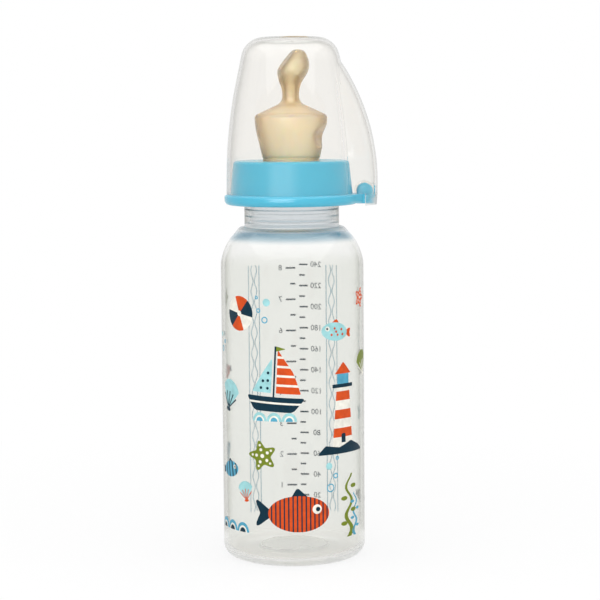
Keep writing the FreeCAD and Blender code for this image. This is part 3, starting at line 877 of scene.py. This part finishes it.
def lighthouse(height):
    """A banded tower on rocks, with a gallery, a lit lantern, a roof and a door."""
    belt = 0.10 * height
    arch = 0.02 * height
    rocks = (
        (-0.34, 0, 0.6), (-0.24, 0.10, 1.0), (-0.06, 0.07, 0.8), (0.12, 0.13, 1.2), (0.26, 0.07, 0.8),
        (0.36, 0, 0.6),
    )
    shapes = patches(
        height,
        (TEAL, 1, *rocks),
        (CREAM, 0, (-0.15, 0.08, 0), (0.15, 0.08, 0), (0.095, 0.72, 0), (-0.095, 0.72, 0)),
        (TEAL, 1, (-0.15, 0.72, 0.2), (0.15, 0.72, 0.2), (0.15, 0.76, 0.2), (-0.15, 0.76, 0.2)),
        (SKY, 0, (-0.085, 0.76, 0), (0.085, 0.76, 0), (0.085, 0.87, 0), (-0.085, 0.87, 0)),
        (ORANGE, 1, (-0.12, 0.87, 0.2), (0.12, 0.87, 0.2), (0.0, 1.0, 0.6)),
        (TEAL, 2, (-0.03, 0.12, 0), (0.03, 0.12, 0), (0.03, 0.22, arch), (-0.03, 0.22, arch)),
    )
    _, (tower, _), *_ = shapes
    banded(tower, (CREAM, ORANGE), (belt, belt), UPWARDS)
    return shapes


print("drawn flat: sailboat, lighthouse")

# %% Shell, ball and waves
def shell(radius, skin, trim):
    """A fan with ribs that meet at its hinge."""
    fan = oval(radius, radius, skin, (0, 0.15 * radius))
    for side in (-1, 1):
        cut_flat(fan, Vector((side * 0.82, 0, -0.57)), 0.42 * radius * MM, drop=True)
    shapes = [(fan, 0)]
    hinge = Vector((0, 0, -0.62 * radius * MM))
    for turn in (-44, -22, 0, 22, 44):
        corners = sized(radius, (-0.035, -0.5, 0), (0.035, -0.5, 0), (0.05, 0.42, 0), (-0.05, 0.42, 0))
        rib = patch(corners, trim)
        spread = Matrix.Rotation(math.radians(turn), 3, "Y")
        bmesh.ops.rotate(rib, verts=rib.verts[:], cent=hinge, matrix=spread)
        shapes.append((rib, 1))
    shapes.append((oval(0.26 * radius, 0.13 * radius, trim, (0, -0.66 * radius)), 2))
    return shapes


BALL_SIDES = 48
BALL_TURN = 20
GORE = 60
BUTTON_SIDES = 24


def beach_ball(radius, inks):
    """A ball with six gores and a button in the middle."""
    ball = dot(radius, inks[0], sides=BALL_SIDES)
    for turn in range(BALL_TURN, 180, GORE):
        cut_flat(ball, Vector((math.cos(math.radians(turn)), 0, math.sin(math.radians(turn)))), 0)
    for face in ball.faces:
        middle = face.calc_center_median()
        angle = math.degrees(math.atan2(middle.z, middle.x))
        gore = int((angle + 360 - BALL_TURN - GORE / 2) // GORE)
        face.material_index = inks[gore % len(inks)]
    return [(ball, 0), (dot(0.16 * radius, CREAM, sides=BUTTON_SIDES), 1)]


def waves(width, humps, outer, inner):
    """A row of half rounds, each with two smaller ones on it."""
    shapes = []
    size = width / humps / 2
    for hump in range(humps):
        middle = -width / 2 + size * (2 * hump + 1)
        for layer, (share, ink) in enumerate(((1.0, outer), (0.66, CREAM), (0.46, inner))):
            half = oval(size * share, 1.15 * size * share, ink, (middle, 0))
            cut_flat(half, Vector((0, 0, -1)), 0, drop=True)
            shapes.append((half, layer))
    return shapes


print("drawn flat: shell, beach ball, waves")

# %% Weed, ripples and bubbles
RIPPLE_STEPS = 10
BUBBLE_LINE = 0.45


def ripple(width, height, swing, turns, ink, taper=0.0):
    """A swaying ribbon: one edge is extruded upwards step by step, shifted to and fro and narrowed."""
    ribbon = bmesh.new()
    half = width / 2 * MM
    edge = [ribbon.edges.new((ribbon.verts.new((-half, 0, 0)), ribbon.verts.new((half, 0, 0))))]
    steps = round(RIPPLE_STEPS * turns)
    place = 0.0
    for step in range(1, steps + 1):
        made = bmesh.ops.extrude_edge_only(ribbon, edges=edge)["geom"]
        verts = [item for item in made if isinstance(item, bmesh.types.BMVert)]
        edge = [ribbon.edges.get(verts)]
        sway = swing * math.sin(math.tau * step / RIPPLE_STEPS)
        bmesh.ops.translate(ribbon, verts=verts, vec=((sway - place) * MM, 0, height / steps * MM))
        place = sway
        middle = sum((vert.co for vert in verts), Vector()) / 2
        bmesh.ops.scale(ribbon, verts=verts, vec=(1 - taper / steps, 1, 1), space=Matrix.Translation(-middle))
    return [(inked(ribbon, ink), 0)]


def seaweed(height, ink):
    """A wide ripple that narrows, with small round leaves to both sides."""
    shapes = ripple(0.11 * height, height, 0.07 * height, 2.2, ink, taper=0.9)
    for rise, side in ((0.22, -1), (0.42, 1), (0.62, -1), (0.8, 1)):
        leaf = oval(0.07 * height, 0.035 * height, ink, (side * 0.11 * height, rise * height), BUTTON_SIDES)
        shapes.append((leaf, 1))
    return shapes


def bubbles(*spots):
    """Two rings to every dot, from (across, up, radius) spots."""
    shapes = []
    for index, (across, up, radius) in enumerate(spots):
        if index % 3 == 2:
            shapes.append((dot(radius, AQUA, (across, up), BUTTON_SIDES), 0))
        else:
            shapes.append((ringlet(radius, BUBBLE_LINE, SKY, (across, up)), 0))
    return shapes


print("drawn flat: ripples, seaweed, bubbles")

# %% [markdown]
# ## Laying out the print
# Places are in millimetres round the barrel from the front, and up from the foot. The back is left to the
# volume scale.

# %% Picture print
picture = bmesh.new()
lay(picture, fish(34.0, ORANGE, TEAL, belts=(1.15, 0.55)), (2.0, 21.5))
lay(picture, bubbles((0, 0, 1.7), (2.4, 4.6, 1.1), (-0.6, 8.6, 1.4), (3.2, 11.5, 0.8)), (15.0, 31.0))
lay(picture, seaweed(25.0, OLIVE), (24.5, 10.5))
lay(picture, seaweed(17.0, SKY), (28.5, 10.5), scale=-1.0)
lay(picture, waves(20.0, 3, SKY, TEAL), (-29.0, 13.0))
lay(picture, lighthouse(36.0), (21.5, 44.0))
lay(picture, starfish(7.4, OLIVE, CREAM), (-12.5, 44.0), turn=14)
lay(picture, fish(15.0, SKY, TEAL, belts=(1.6, 0.8)), (-30.0, 37.0), turn=8)
lay(picture, sailboat(25.0, TEAL, ORANGE, AQUA), (-8.0, 61.5), turn=-3)
lay(picture, waves(18.0, 3, AQUA, SKY), (-7.5, 57.7))
lay(picture, shell(6.6, AQUA, TEAL), (-30.5, 65.0), turn=-12)
lay(picture, fish(17.0, AQUA, ORANGE), (17.5, 92.0), turn=-6, scale=-1.0)
lay(picture, beach_ball(6.8, (ORANGE, CREAM, TEAL)), (-23.0, 99.0))
lay(picture, starfish(5.0, ORANGE, CREAM), (33.5, 104.0), turn=-18)
lay(picture, bubbles((0, 0, 1.3), (-2.6, 3.6, 0.9), (0.8, 6.8, 1.5), (-3.4, 8.6, 0.7)), (-11.0, 97.0))
lay(picture, bubbles((0, 0, 1.2), (2.6, 3.0, 0.8), (-1.2, 5.6, 1.0)), (-37.0, 84.0))
lay(picture, shell(5.4, OLIVE, CREAM), (36.0, 77.0), turn=16)
lay(picture, shell(4.2, AQUA, ORANGE), (-20.5, 28.5), turn=10)
lay(picture, fish(12.0, OLIVE, TEAL, belts=(1.2, 0.6)), (49.0, 22.0), turn=5, scale=-1.0)
lay(picture, starfish(5.0, AQUA, TEAL), (48.5, 56.0), turn=10)
lay(picture, bubbles((0, 0, 1.3), (1.8, 3.6, 0.9), (-0.4, 6.6, 1.1)), (49.0, 84.0))
lay(picture, shell(5.0, SKY, CREAM), (-49.0, 39.0), turn=-8)
lay(picture, fish(13.0, ORANGE, TEAL), (-49.0, 73.0), turn=-6)
lay(picture, starfish(4.8, OLIVE, CREAM), (-48.5, 103.0), turn=20)
finish_piece("bottle_print", wrapped(picture), INKS, "bottle")

# %% [markdown]
# ## The volume scale
# Dashes and numbers stand on the back, where they read right from behind and show mirrored through the
# bottle from the front. One millilitre lifts the level by its volume over the barrel's inside area. The
# numbers are text that is made a mesh first, and then laid on the sheet like any other shape.

# %% Dashes and numbers
DASH = 0.65
NUMBER_SIZE = 3.3
UNIT_SIZE = 3.0
TEXT_STEPS = 4


def upright_bar(start, end, foot, head, ink):
    """A square-cornered patch between two places round the barrel and two heights."""
    return patch(((start, foot, 0), (end, foot, 0), (end, head, 0), (start, head, 0)), ink)


def number(text, size=NUMBER_SIZE):
    """Text as a flat shape, centred."""
    curve = bpy.data.curves.new("number", "FONT")
    curve.body = text
    curve.size = size * MM
    curve.align_x = "CENTER"
    curve.align_y = "CENTER"
    curve.resolution_u = TEXT_STEPS
    holder = placed("number", curve)
    mesh = bpy.data.meshes.new_from_object(holder.evaluated_get(bpy.context.evaluated_depsgraph_get()))
    bm = bmesh.new()
    bm.from_mesh(mesh)
    bmesh.ops.rotate(bm, verts=bm.verts[:], cent=(0, 0, 0), matrix=UPRIGHT.to_3x3())
    bmesh.ops.remove_doubles(bm, verts=bm.verts[:], dist=MERGE)
    bpy.data.objects.remove(holder)
    bpy.data.curves.remove(curve)
    bpy.data.meshes.remove(mesh)
    return inked(bm, TEAL)


print("numbers are", NUMBER_SIZE, "mm high")

# %% Volume scale
BACK = math.pi * BODY_RADIUS
ML_RISE = 1000 / (math.pi * (BODY_RADIUS - WALL) ** 2)
ML_FULL = 240
FULL_LEVEL = 113.6
OUNCE = 29.57
UNIT_LEVEL = 11.5

scale_sheet = bmesh.new()


def scale_mark(volume, start, end, text="", place=0.0):
    """A dash at the level of a volume, and its number if it has one."""
    level = FULL_LEVEL - (ML_FULL - volume) * ML_RISE
    lay(scale_sheet, [(upright_bar(start, end, level, level + DASH, TEAL), 0)], (BACK, 0))
    if text:
        lay(scale_sheet, [(number(text), 0)], (BACK + place, level + DASH / 2))


for volume in range(20, ML_FULL + 1, 10):
    if volume % 20:
        scale_mark(volume, -5.2, -2.8)
    else:
        scale_mark(volume, -6.4, -2.8, str(volume), -10.0)
for half_ounces in range(1, 17):
    if half_ounces % 2:
        scale_mark(half_ounces * OUNCE / 2, -1.2, 1.0)
    else:
        scale_mark(half_ounces * OUNCE / 2, -1.2, 2.9, str(half_ounces // 2), 5.2)
for unit, place in (("ml", -6.0), ("oz", 2.0)):
    lay(scale_sheet, [(number(unit, UNIT_SIZE), 0)], (BACK + place, UNIT_LEVEL))
print("scale:", len(scale_sheet.faces), "faces, a millilitre lifts it", round(ML_RISE, 3), "mm")

# %% Rules beside the scale
RULE_WIDTH = 0.3
RULE_FOOT = 12.0
RULE_HEAD = 114.0
RULE_TURNS = 12

for side in (-1, 1):
    for offset in (14.6, 20.0):
        rule = upright_bar(offset, offset + RULE_WIDTH, RULE_FOOT, RULE_HEAD, SKY)
        lay(scale_sheet, [(rule, 0)], (BACK, 0), scale=side)
    for offset, swing in ((16.5, 0.6), (18.3, -0.6)):
        wave = ripple(RULE_WIDTH, RULE_HEAD - RULE_FOOT, swing, RULE_TURNS, SKY)
        lay(scale_sheet, wave, (BACK + side * offset, RULE_FOOT))
finish_piece("volume_scale", wrapped(scale_sheet), INKS, "bottle")

# %% [markdown]
# ## The teat
# Soft amber latex, hollow, with a wall of a millimetre and a half and a fine feeding hole at its tip. Its
# disc is clamped on the mouth and its waist sits in the ring. One closed outline, spun round, gives both
# skins at once. The nipple is then shaped the way a mould would: widened, leant over and pressed flat on
# a slant, each by a short rule on the height. The air valve is a dent in the bell. The dent and the pressed
# face carry a share of amber that is painted shade; the latex also has painted shade at its edges, on its
# throat and on its bulb, and painted light on its crown.

# %% Latex
# Painted light on the crown.
CROWN_PAINTED_LIGHT = (1.22, 1.20, 1.21)
# Painted shade on the throat, under the bulb.
THROAT_PAINTED_SHADE = (0.86, 0.85, 0.77)
# Painted shade on the bulb.
BULB_PAINTED_SHADE = (0.83, 0.865, 0.815)
PAINTED_SHADE_AMBER = (0.70, 0.60, 0.42, 1)
LATEX_FILM = (0.94, 0.88, 0.72, 1)
LATEX_TINT = (0.86, 0.60, 0.10, 1)
LATEX_DENSITY = 120.0


def latex_material():
    """Cloudy amber rubber: half clear, half scattering, with painted shade and painted light in its colour.
    """
    material, shader, output = grouped_material(
        "teat_latex", MOULDED, bump=0.05, depth=RELIEF_DEPTH,
        Roughness=0.20, Drift=0.08, Wave_Size=120.0, Grain_Size=1500.0, Grain=0.04,
    )
    tree = material.node_tree
    edge_tint(
        tree, shader,
        # The greys are painted shade towards the edges.
        greys=(
            (0.0, (1.0, 0.915, 0.785)), (0.22, (0.985, 0.89, 0.76)), (0.42, (0.72, 0.605, 0.455)),
            (0.60, (0.60, 0.505, 0.365)), (0.80, (0.68, 0.585, 0.445)), (1.0, (0.86, 0.77, 0.64)),
        ),
        edges=(
            (0, 0.9), (174.5, 0.9), (176.0, 0.55), (178.5, 0.62), (181.0, 2.3), (187.0, 2.2), (191.0, 1.5),
            (210, 1.4),
        ),
        casts=(
            # A painted reflection of the blue ring at the bell's foot, then painted light on the crown and
            # painted shade on the throat and bulb.
            (0, NO_CAST), (156, (0.93, 0.97, 0.93)), (159, (0.95, 0.98, 0.95)), (160, NO_CAST),
            (174.5, NO_CAST), (176.0, CROWN_PAINTED_LIGHT), (179.5, CROWN_PAINTED_LIGHT), (182.0, THROAT_PAINTED_SHADE),
            (187.0, THROAT_PAINTED_SHADE), (191.0, BULB_PAINTED_SHADE),
        ),
    )
    # The hollow attribute holds painted shade for the dent and the pressed face, as a share of amber.
    painted_shade_attribute = add_node(tree, "Attribute")
    painted_shade_attribute.attribute_name = "hollow"
    tint = shader.inputs["Base Color"].links[0].from_socket
    amber = add_colour_mix(tree, "MULTIPLY", painted_shade_attribute.outputs["Fac"], tint, PAINTED_SHADE_AMBER)
    set_inputs(
        tree, shader, Base_Color=amber, Transmission_Weight=0.68, IOR=1.33, Subsurface_Weight=0.6,
        Subsurface_Radius=(0.004, 0.0025, 0.0012), Subsurface_Scale=1.0,
    )
    let_lamps_through(tree, shader, output, LATEX_FILM)
    absorb(tree, output, LATEX_TINT, LATEX_DENSITY)
    return material


LATEX = latex_material()
print("latex:", LATEX.name)

# %% Teat outline
DISC_FOOT = 153.75
DISC_TOP = 155.45
DISC_RADIUS = 18.6
TEAT_WAIST = 11.1
BELL_FOOT_RADIUS = 11.4
BELL_RADIUS = 14.3
CROWN = 175.1
THROAT_RADIUS = 3.3
BULB_RADIUS = 6.05
TIP = 201.1
HOLE_RADIUS = 0.5
TEAT_WALL = 1.5
NIPPLE_WALL = 1.4
LONGEST_STEP = 1.0

teat_outline = (
    (TEAT_WAIST - TEAT_WALL, DISC_FOOT, 0.3), (DISC_RADIUS, DISC_FOOT, 0.5), (DISC_RADIUS, DISC_TOP, 0.5),
    (TEAT_WAIST, DISC_TOP, 0.4), (TEAT_WAIST, 158.2, 0.3), (BELL_FOOT_RADIUS, 158.7, 0.3),
    (BELL_RADIUS, 171.2, 24.0), (BELL_RADIUS, CROWN, 1.7), (THROAT_RADIUS, 180.2, 3.5),
    (THROAT_RADIUS, 185.4, 9.0), (BULB_RADIUS, 191.7, 6.0), (BULB_RADIUS, 195.4, 6.5), (2.9, 200.4, 3.2),
    (HOLE_RADIUS, TIP, 0.15), (HOLE_RADIUS, TIP - TEAT_WALL, 0.15), (2.2, 199.0, 1.8),
    (BULB_RADIUS - NIPPLE_WALL, 195.2, 4.8), (BULB_RADIUS - NIPPLE_WALL, 192.1, 4.6),
    (THROAT_RADIUS - NIPPLE_WALL, 185.8, 9.5), (THROAT_RADIUS - NIPPLE_WALL, 179.3, 5.0),
    (BELL_RADIUS - TEAT_WALL, 174.1, 0.8), (BELL_RADIUS - TEAT_WALL, 171.5, 22.0),
    (BELL_FOOT_RADIUS - NIPPLE_WALL, 159.4, 0.6), (TEAT_WAIST - TEAT_WALL, 158.6, 0.6),
)
teat_wire = outline(teat_outline, closed=True)
for edge in teat_wire.edges[:]:
    cuts = int(edge.calc_length() / (LONGEST_STEP * MM))
    if cuts:
        bmesh.ops.subdivide_edges(teat_wire, edges=[edge], cuts=cuts)
teat_mesh = turned(teat_wire)
print("teat:", len(teat_mesh.faces), "faces")

# %% Nipple
NIPPLE_FOOT = 186.0
NIPPLE_FULL = 193.0
NIPPLE_WIDEN = 0.2
NIPPLE_MIDDLE = Vector((1.2, 0, 193.5)) * MM
NIPPLE_TURN = math.radians(12)
LEAN_FOOT = 188.3
LEAN_FULL = 190.0
LEAN = 0.23
PRESS_PLACE = -5.2
PRESS_HEIGHT = 192.3
PRESS_SLOPE = 0.775
PRESS_WALL = 1.65
PRESS_SHADE_REACH = 0.5


def eased(value, low, high):
    """0 below low, 1 above high and a smooth rise between."""
    share = min(max((value - low) / (high - low), 0), 1)
    return share * share * (3 - 2 * share)


# The hollow layer holds the share of painted shade.
painted_shade_share = teat_mesh.verts.layers.float.new("hollow")
pressed = []
for vert in teat_mesh.verts:
    height = vert.co.z / MM
    if height < NIPPLE_FOOT:
        continue
    inner_skin = vert.normal.dot(vert.co - NIPPLE_MIDDLE) < 0
    vert.co.y *= 1 + NIPPLE_WIDEN * eased(height, NIPPLE_FOOT, NIPPLE_FULL)
    vert.co.x += LEAN * (height - LEAN_FOOT) * eased(height, NIPPLE_FOOT, LEAN_FULL) * MM
    flat = PRESS_PLACE + (height - PRESS_HEIGHT) * PRESS_SLOPE + PRESS_WALL * inner_skin
    if vert.co.x < flat * MM:
        # Painted shade on the pressed face, full half a millimetre into the press.
        vert[painted_shade_share] = min((flat - vert.co.x / MM) / PRESS_SHADE_REACH, 1)
        vert.co.x = flat * MM
        pressed.append(vert)
bmesh.ops.smooth_vert(teat_mesh, verts=pressed, factor=0.5, use_axis_x=True, use_axis_y=True, use_axis_z=True)
turn = Matrix.Rotation(NIPPLE_TURN, 3, "Z")
bmesh.ops.rotate(teat_mesh, verts=teat_mesh.verts[:], cent=(0, 0, 0), matrix=turn)
print("points pressed flat:", len(pressed))

# %% Air valve
DENT_ARC = math.radians(40)
DENT_RISE = 5.0
DENT_DEPTH = 2.6
DENT_HEIGHT = 167.0
DENT_TURN = math.radians(-15)
DENT_PAINTED_SHADE = 0.3

for vert in teat_mesh.verts:
    across, along, height = (value / MM for value in vert.co)
    radius = math.hypot(across, along)
    reach = math.hypot((math.atan2(along, across) - DENT_TURN) / DENT_ARC, (height - DENT_HEIGHT) / DENT_RISE)
    if reach < 1:
        dent = (1 - reach ** 2) ** 2
        # Painted shade in the dent, strongest at its middle.
        vert[painted_shade_share] = DENT_PAINTED_SHADE * dent
        vert.co.xy *= 1 - DENT_DEPTH * dent / radius
face_out(teat_mesh)
teat = finish_piece("teat_soft", teat_mesh, [LATEX], "teat", crease=60.0)
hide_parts("teat")

# %% [markdown]
# ## The screw ring
# A glossy blue moulding with a holed deck, a slightly flared skirt and a rolled flange. A tab leads
# from the flange to an upright lug that the cap's pod drops over. The tab and the lug are extruded flat
# shapes with rounded edges, joined to the turned ring by an exact Boolean, so the ring stays one skin.

# %% Blue plastic
RING_BLUE = (0.072, 0.445, 0.61, 1)

RING_PLASTIC, ring_shader, _ = grouped_material(
    "ring_plastic", MOULDED, bump=0.03, depth=RELIEF_DEPTH,
    Roughness=0.17, Drift=0.10, Wave_Size=70.0, Grain_Size=1300.0, Grain=0.15,
)
set_inputs(
    RING_PLASTIC.node_tree, ring_shader, Base_Color=RING_BLUE, IOR=1.45, Specular_IOR_Level=0.5,
    Subsurface_Weight=0.25, Subsurface_Radius=(0.0006, 0.0014, 0.0018), Subsurface_Scale=1.0,
)
print("blue plastic:", RING_PLASTIC.name)

# %% Screw ring
RING_FOOT = 140.1
RING_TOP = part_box("screw_ring")[1][2] / MM
RING_HOLE = 11.4
RING_BORE = 20.3
DECK_FOOT = 155.5
RING_TOP_RADIUS = 22.8
SKIRT_RADIUS = 24.2
FLANGE_RADIUS = 26.5
FLANGE_TOP = 144.1

ring_outline = (
    (RING_HOLE, DECK_FOOT, 0.3), (RING_HOLE, RING_TOP, 0.5), (RING_TOP_RADIUS, RING_TOP, 1.2),
    (SKIRT_RADIUS, FLANGE_TOP, 0.5), (FLANGE_RADIUS, FLANGE_TOP, 1.0), (FLANGE_RADIUS, RING_FOOT, 2.0),
    (RING_BORE, RING_FOOT, 0.4), (RING_BORE, DECK_FOOT, 0.4),
)
ring_thread = thread(root=20.7, tip=19.2, foot=142.5, turns=2.4)
ring_mesh = combine(turned(outline(ring_outline, closed=True)), ring_thread, "UNION")
print("ring:", len(ring_mesh.faces), "faces")

# %% Tab between flange and lug
LUG_REACH = 28.8
TAB_ROOT = 22.25
TAB_SPREAD = 12.5
TAB_WIDTH = 2.8
TAB_FOOT = 140.5
TAB_ROUND = 1.4
TAB_ROUND_STEPS = 6
SMALL = 0.1


def extruded(bm, shift):
    """Pull the flat faces out by a shift in metres and face the solid outwards."""
    made = bmesh.ops.extrude_face_region(bm, geom=bm.faces[:])["geom"]
    bmesh.ops.translate(bm, verts=[item for item in made if isinstance(item, bmesh.types.BMVert)], vec=shift)
    face_out(bm)


tab = bmesh.new()
tab_ends = ((TAB_ROOT, -TAB_SPREAD), (LUG_REACH, -TAB_WIDTH), (LUG_REACH, TAB_WIDTH), (TAB_ROOT, TAB_SPREAD))
for across, along in tab_ends:
    tab.verts.new((across * MM, along * MM, TAB_FOOT * MM))
bmesh.ops.contextual_create(tab, geom=tab.verts[:])
extruded(tab, (0, 0, (FLANGE_TOP - TAB_FOOT) * MM))
slants = [
    edge for edge in tab.edges
    if max(vert.co.z for vert in edge.verts) < (TAB_FOOT + SMALL) * MM
    and abs(edge.verts[0].co.x - edge.verts[1].co.x) > SMALL * MM
]
rounded(tab, slants, TAB_ROUND, TAB_ROUND_STEPS, "EDGES")
ring_mesh = combine(ring_mesh, tab, "UNION")
print("ring with its tab:", len(ring_mesh.faces), "faces")

# %% Lug
LUG_DEPTH = 3.1
LUG_WIDTH = 3.4
LUG_TOP = 148.4
LUG_FOOT = 140.3
LUG_ROUND = 0.8
LUG_ROUND_STEPS = 4
LUG_SIDES = 48
LUG_MERGE = 1e-5

lug = bmesh.new()
lug_middle = Vector((LUG_REACH * MM, -LUG_WIDTH * MM, (LUG_TOP - LUG_DEPTH) * MM))
half_round = bmesh.ops.create_circle(
    lug, cap_ends=True, segments=LUG_SIDES, radius=LUG_DEPTH * MM,
    matrix=Matrix.Translation(lug_middle) @ UPRIGHT,
)
for vert in half_round["verts"]:
    if vert.co.z < (LUG_TOP - LUG_DEPTH - SMALL) * MM:
        vert.co.z = LUG_FOOT * MM
        vert.co.x = (LUG_REACH + math.copysign(LUG_DEPTH, vert.co.x - LUG_REACH * MM)) * MM
bmesh.ops.remove_doubles(lug, verts=lug.verts[:], dist=LUG_MERGE)
extruded(lug, (0, 2 * LUG_WIDTH * MM, 0))
rims = [edge for edge in lug.edges if abs(edge.verts[0].co.y - edge.verts[1].co.y) < MERGE]
rounded(lug, rims, LUG_ROUND, LUG_ROUND_STEPS, "EDGES")
ring_mesh = combine(ring_mesh, lug, "UNION")
ring = finish_piece("screw_ring_blue", ring_mesh, [RING_PLASTIC], "ring", crease=35.0)
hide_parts("screw_ring")

# %% [markdown]
# ## The cap
# A clear dome with a flat top, and on one side a hollow pod that bends down over the ring's lug. Both
# are swept shapes: the dome is an outline spun round the bottle's axis, and the pod is a circle carried
# along a wide bend. The outsides are joined, the hollows are joined, and one is taken from the other,
# which leaves the sharp creases where the pod runs into the dome. A small dimple in the top is the mark of
# the gate that the plastic came in through.

# %% Dome
CAP_RIM = 144.4
CAP_RIM_RADIUS = 25.7
CAP_WAIST = 171.4
CAP_WAIST_RADIUS = 25.1
CAP_WAIST_ROUND = 150.0
CAP_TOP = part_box("cap")[1][2] / MM
CAP_TOP_RADIUS = 17.75
CAP_ROUND = 8.5
CAP_WALL = 1.1
GATE_RADIUS = 1.6
GATE_DEPTH = 0.25
DOME_STEPS = 240


def dome(inset, foot):
    """The filled dome, moved in by inset."""
    taper = (CAP_WAIST_RADIUS - CAP_TOP_RADIUS) / (CAP_TOP - CAP_WAIST)
    top = CAP_TOP - inset
    corners = (
        (0.0, foot, 0), (CAP_RIM_RADIUS - inset, foot, 0),
        (CAP_WAIST_RADIUS - inset, CAP_WAIST, CAP_WAIST_ROUND - inset),
        (CAP_TOP_RADIUS - inset + inset * taper, top, CAP_ROUND - inset), (GATE_RADIUS, top, 0),
        (GATE_RADIUS - GATE_DEPTH, top - GATE_DEPTH, 0), (0.0, top - GATE_DEPTH, 0),
    )
    return turned(outline(corners), DOME_STEPS)


print("dome of", CAP_TOP - CAP_RIM, "mm with a wall of", CAP_WALL, "mm")

# %% Pod
POD_BEND = 85.0
POD_ROUND = 12.5
POD_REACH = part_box("cap")[1][0] / MM
POD_BELLY = 149.0
POD_SWEEP = math.radians(35)
POD_DIP = math.radians(12)
HOLLOW_DIP = math.radians(14.4)
POD_STEPS = 70
POD_SIDES = 130
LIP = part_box("cap")[0][2] / MM


def pod(inset, dip):
    """The filled pod: a circle carried round the bend, from dip below its belly up into the dome."""
    bm = bmesh.new()
    middle = Vector(((POD_REACH - POD_ROUND) * MM, 0, POD_BELLY * MM))
    hub = Vector(((POD_REACH - POD_BEND) * MM, 0, POD_BELLY * MM))
    radius = (POD_ROUND - inset) * MM
    disc = bmesh.ops.create_circle(
        bm, cap_ends=True, segments=POD_SIDES, radius=radius, matrix=Matrix.Translation(middle),
    )
    bmesh.ops.rotate(bm, verts=disc["verts"], cent=hub, matrix=Matrix.Rotation(dip, 3, "Y"))
    bmesh.ops.spin(
        bm, geom=bm.verts[:] + bm.edges[:] + bm.faces[:], cent=hub, axis=(0, 1, 0),
        angle=-(POD_SWEEP + dip), steps=POD_STEPS,
    )
    face_out(bm)
    return bm


outside = combine(dome(0.0, CAP_RIM), pod(0.0, POD_DIP), "UNION")
hollow = combine(dome(CAP_WALL, LIP), pod(CAP_WALL, HOLLOW_DIP), "UNION")
cap_mesh = combine(outside, hollow, "DIFFERENCE")
print("cap before its lip is cut:", len(cap_mesh.faces), "faces")

# %% Cheeks and lip
CHEEK_RADIUS = 4.0
CHEEK_WALL = 1.0
CHEEK_INNER = 3.9
CHEEK_HEIGHT = 145.3
CHEEK_INSET = 0.2
CHEEK_SIDES = 64
CAP_MERGE = 1e-6
FAR = 80.0


def block(low, high):
    """A box between two corners in millimetres, to cut with."""
    bm = bmesh.new()
    size = Vector(high) - Vector(low)
    middle = (Vector(high) + Vector(low)) / 2
    place = Matrix.Translation(middle * MM) @ Matrix.Diagonal((*(size * MM), 1))
    bmesh.ops.create_cube(bm, size=1, matrix=place)
    return bm


for side in (-1, 1):
    cheek = bmesh.new()
    aside = side * (CHEEK_INNER + CHEEK_WALL / 2) * MM
    place = Matrix.Translation((LUG_REACH * MM, aside, CHEEK_HEIGHT * MM))
    bmesh.ops.create_cone(
        cheek, cap_ends=True, segments=CHEEK_SIDES, radius1=CHEEK_RADIUS * MM, radius2=CHEEK_RADIUS * MM,
        depth=CHEEK_WALL * MM, matrix=place @ UPRIGHT,
    )
    cheek = combine(cheek, pod(CHEEK_INSET, POD_DIP), "INTERSECT")
    cap_mesh = combine(cap_mesh, cheek, "UNION")
cap_mesh = combine(cap_mesh, block((-FAR, -FAR, -FAR), (FAR, FAR, LIP)), "DIFFERENCE")
cap_mesh = combine(cap_mesh, block((-FAR, -FAR, -FAR), (LUG_REACH, FAR, CAP_RIM)), "DIFFERENCE")
bmesh.ops.remove_doubles(cap_mesh, verts=cap_mesh.verts[:], dist=CAP_MERGE)
print("open edges of the cap:", sum(not edge.is_manifold for edge in cap_mesh.edges))
cap = finish_piece("cap_clear", cap_mesh, [CAP_PLASTIC], "cap", crease=28.0)
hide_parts("cap")

# %% [markdown]
# ## A gloss light
# Glossy plastic and latex need one bright thing to mirror. A box to the left of the camera gives the
# ring its soft upright sheen. It only feeds reflections, and light linking keeps it to the ring and the
# teat, because a mirrored rectangle on the clear walls would read as a print.

# %% Gloss box
GLOSS_PLACE = (-0.30, -0.95, 0.36)
GLOSS_SIZE = 0.8
GLOSS_WATTS = 11.0

gloss_box = soft_box("gloss_box", GLOSS_PLACE, GLOSS_SIZE, GLOSS_SIZE, GLOSS_WATTS, mirrored=True)
gloss_box.visible_diffuse = False
gloss_box.visible_transmission = False
glossy = bpy.data.collections.new("glossy_pieces")
for piece in (ring, teat):
    glossy.objects.link(piece)
gloss_box.light_linking.receiver_collection = glossy
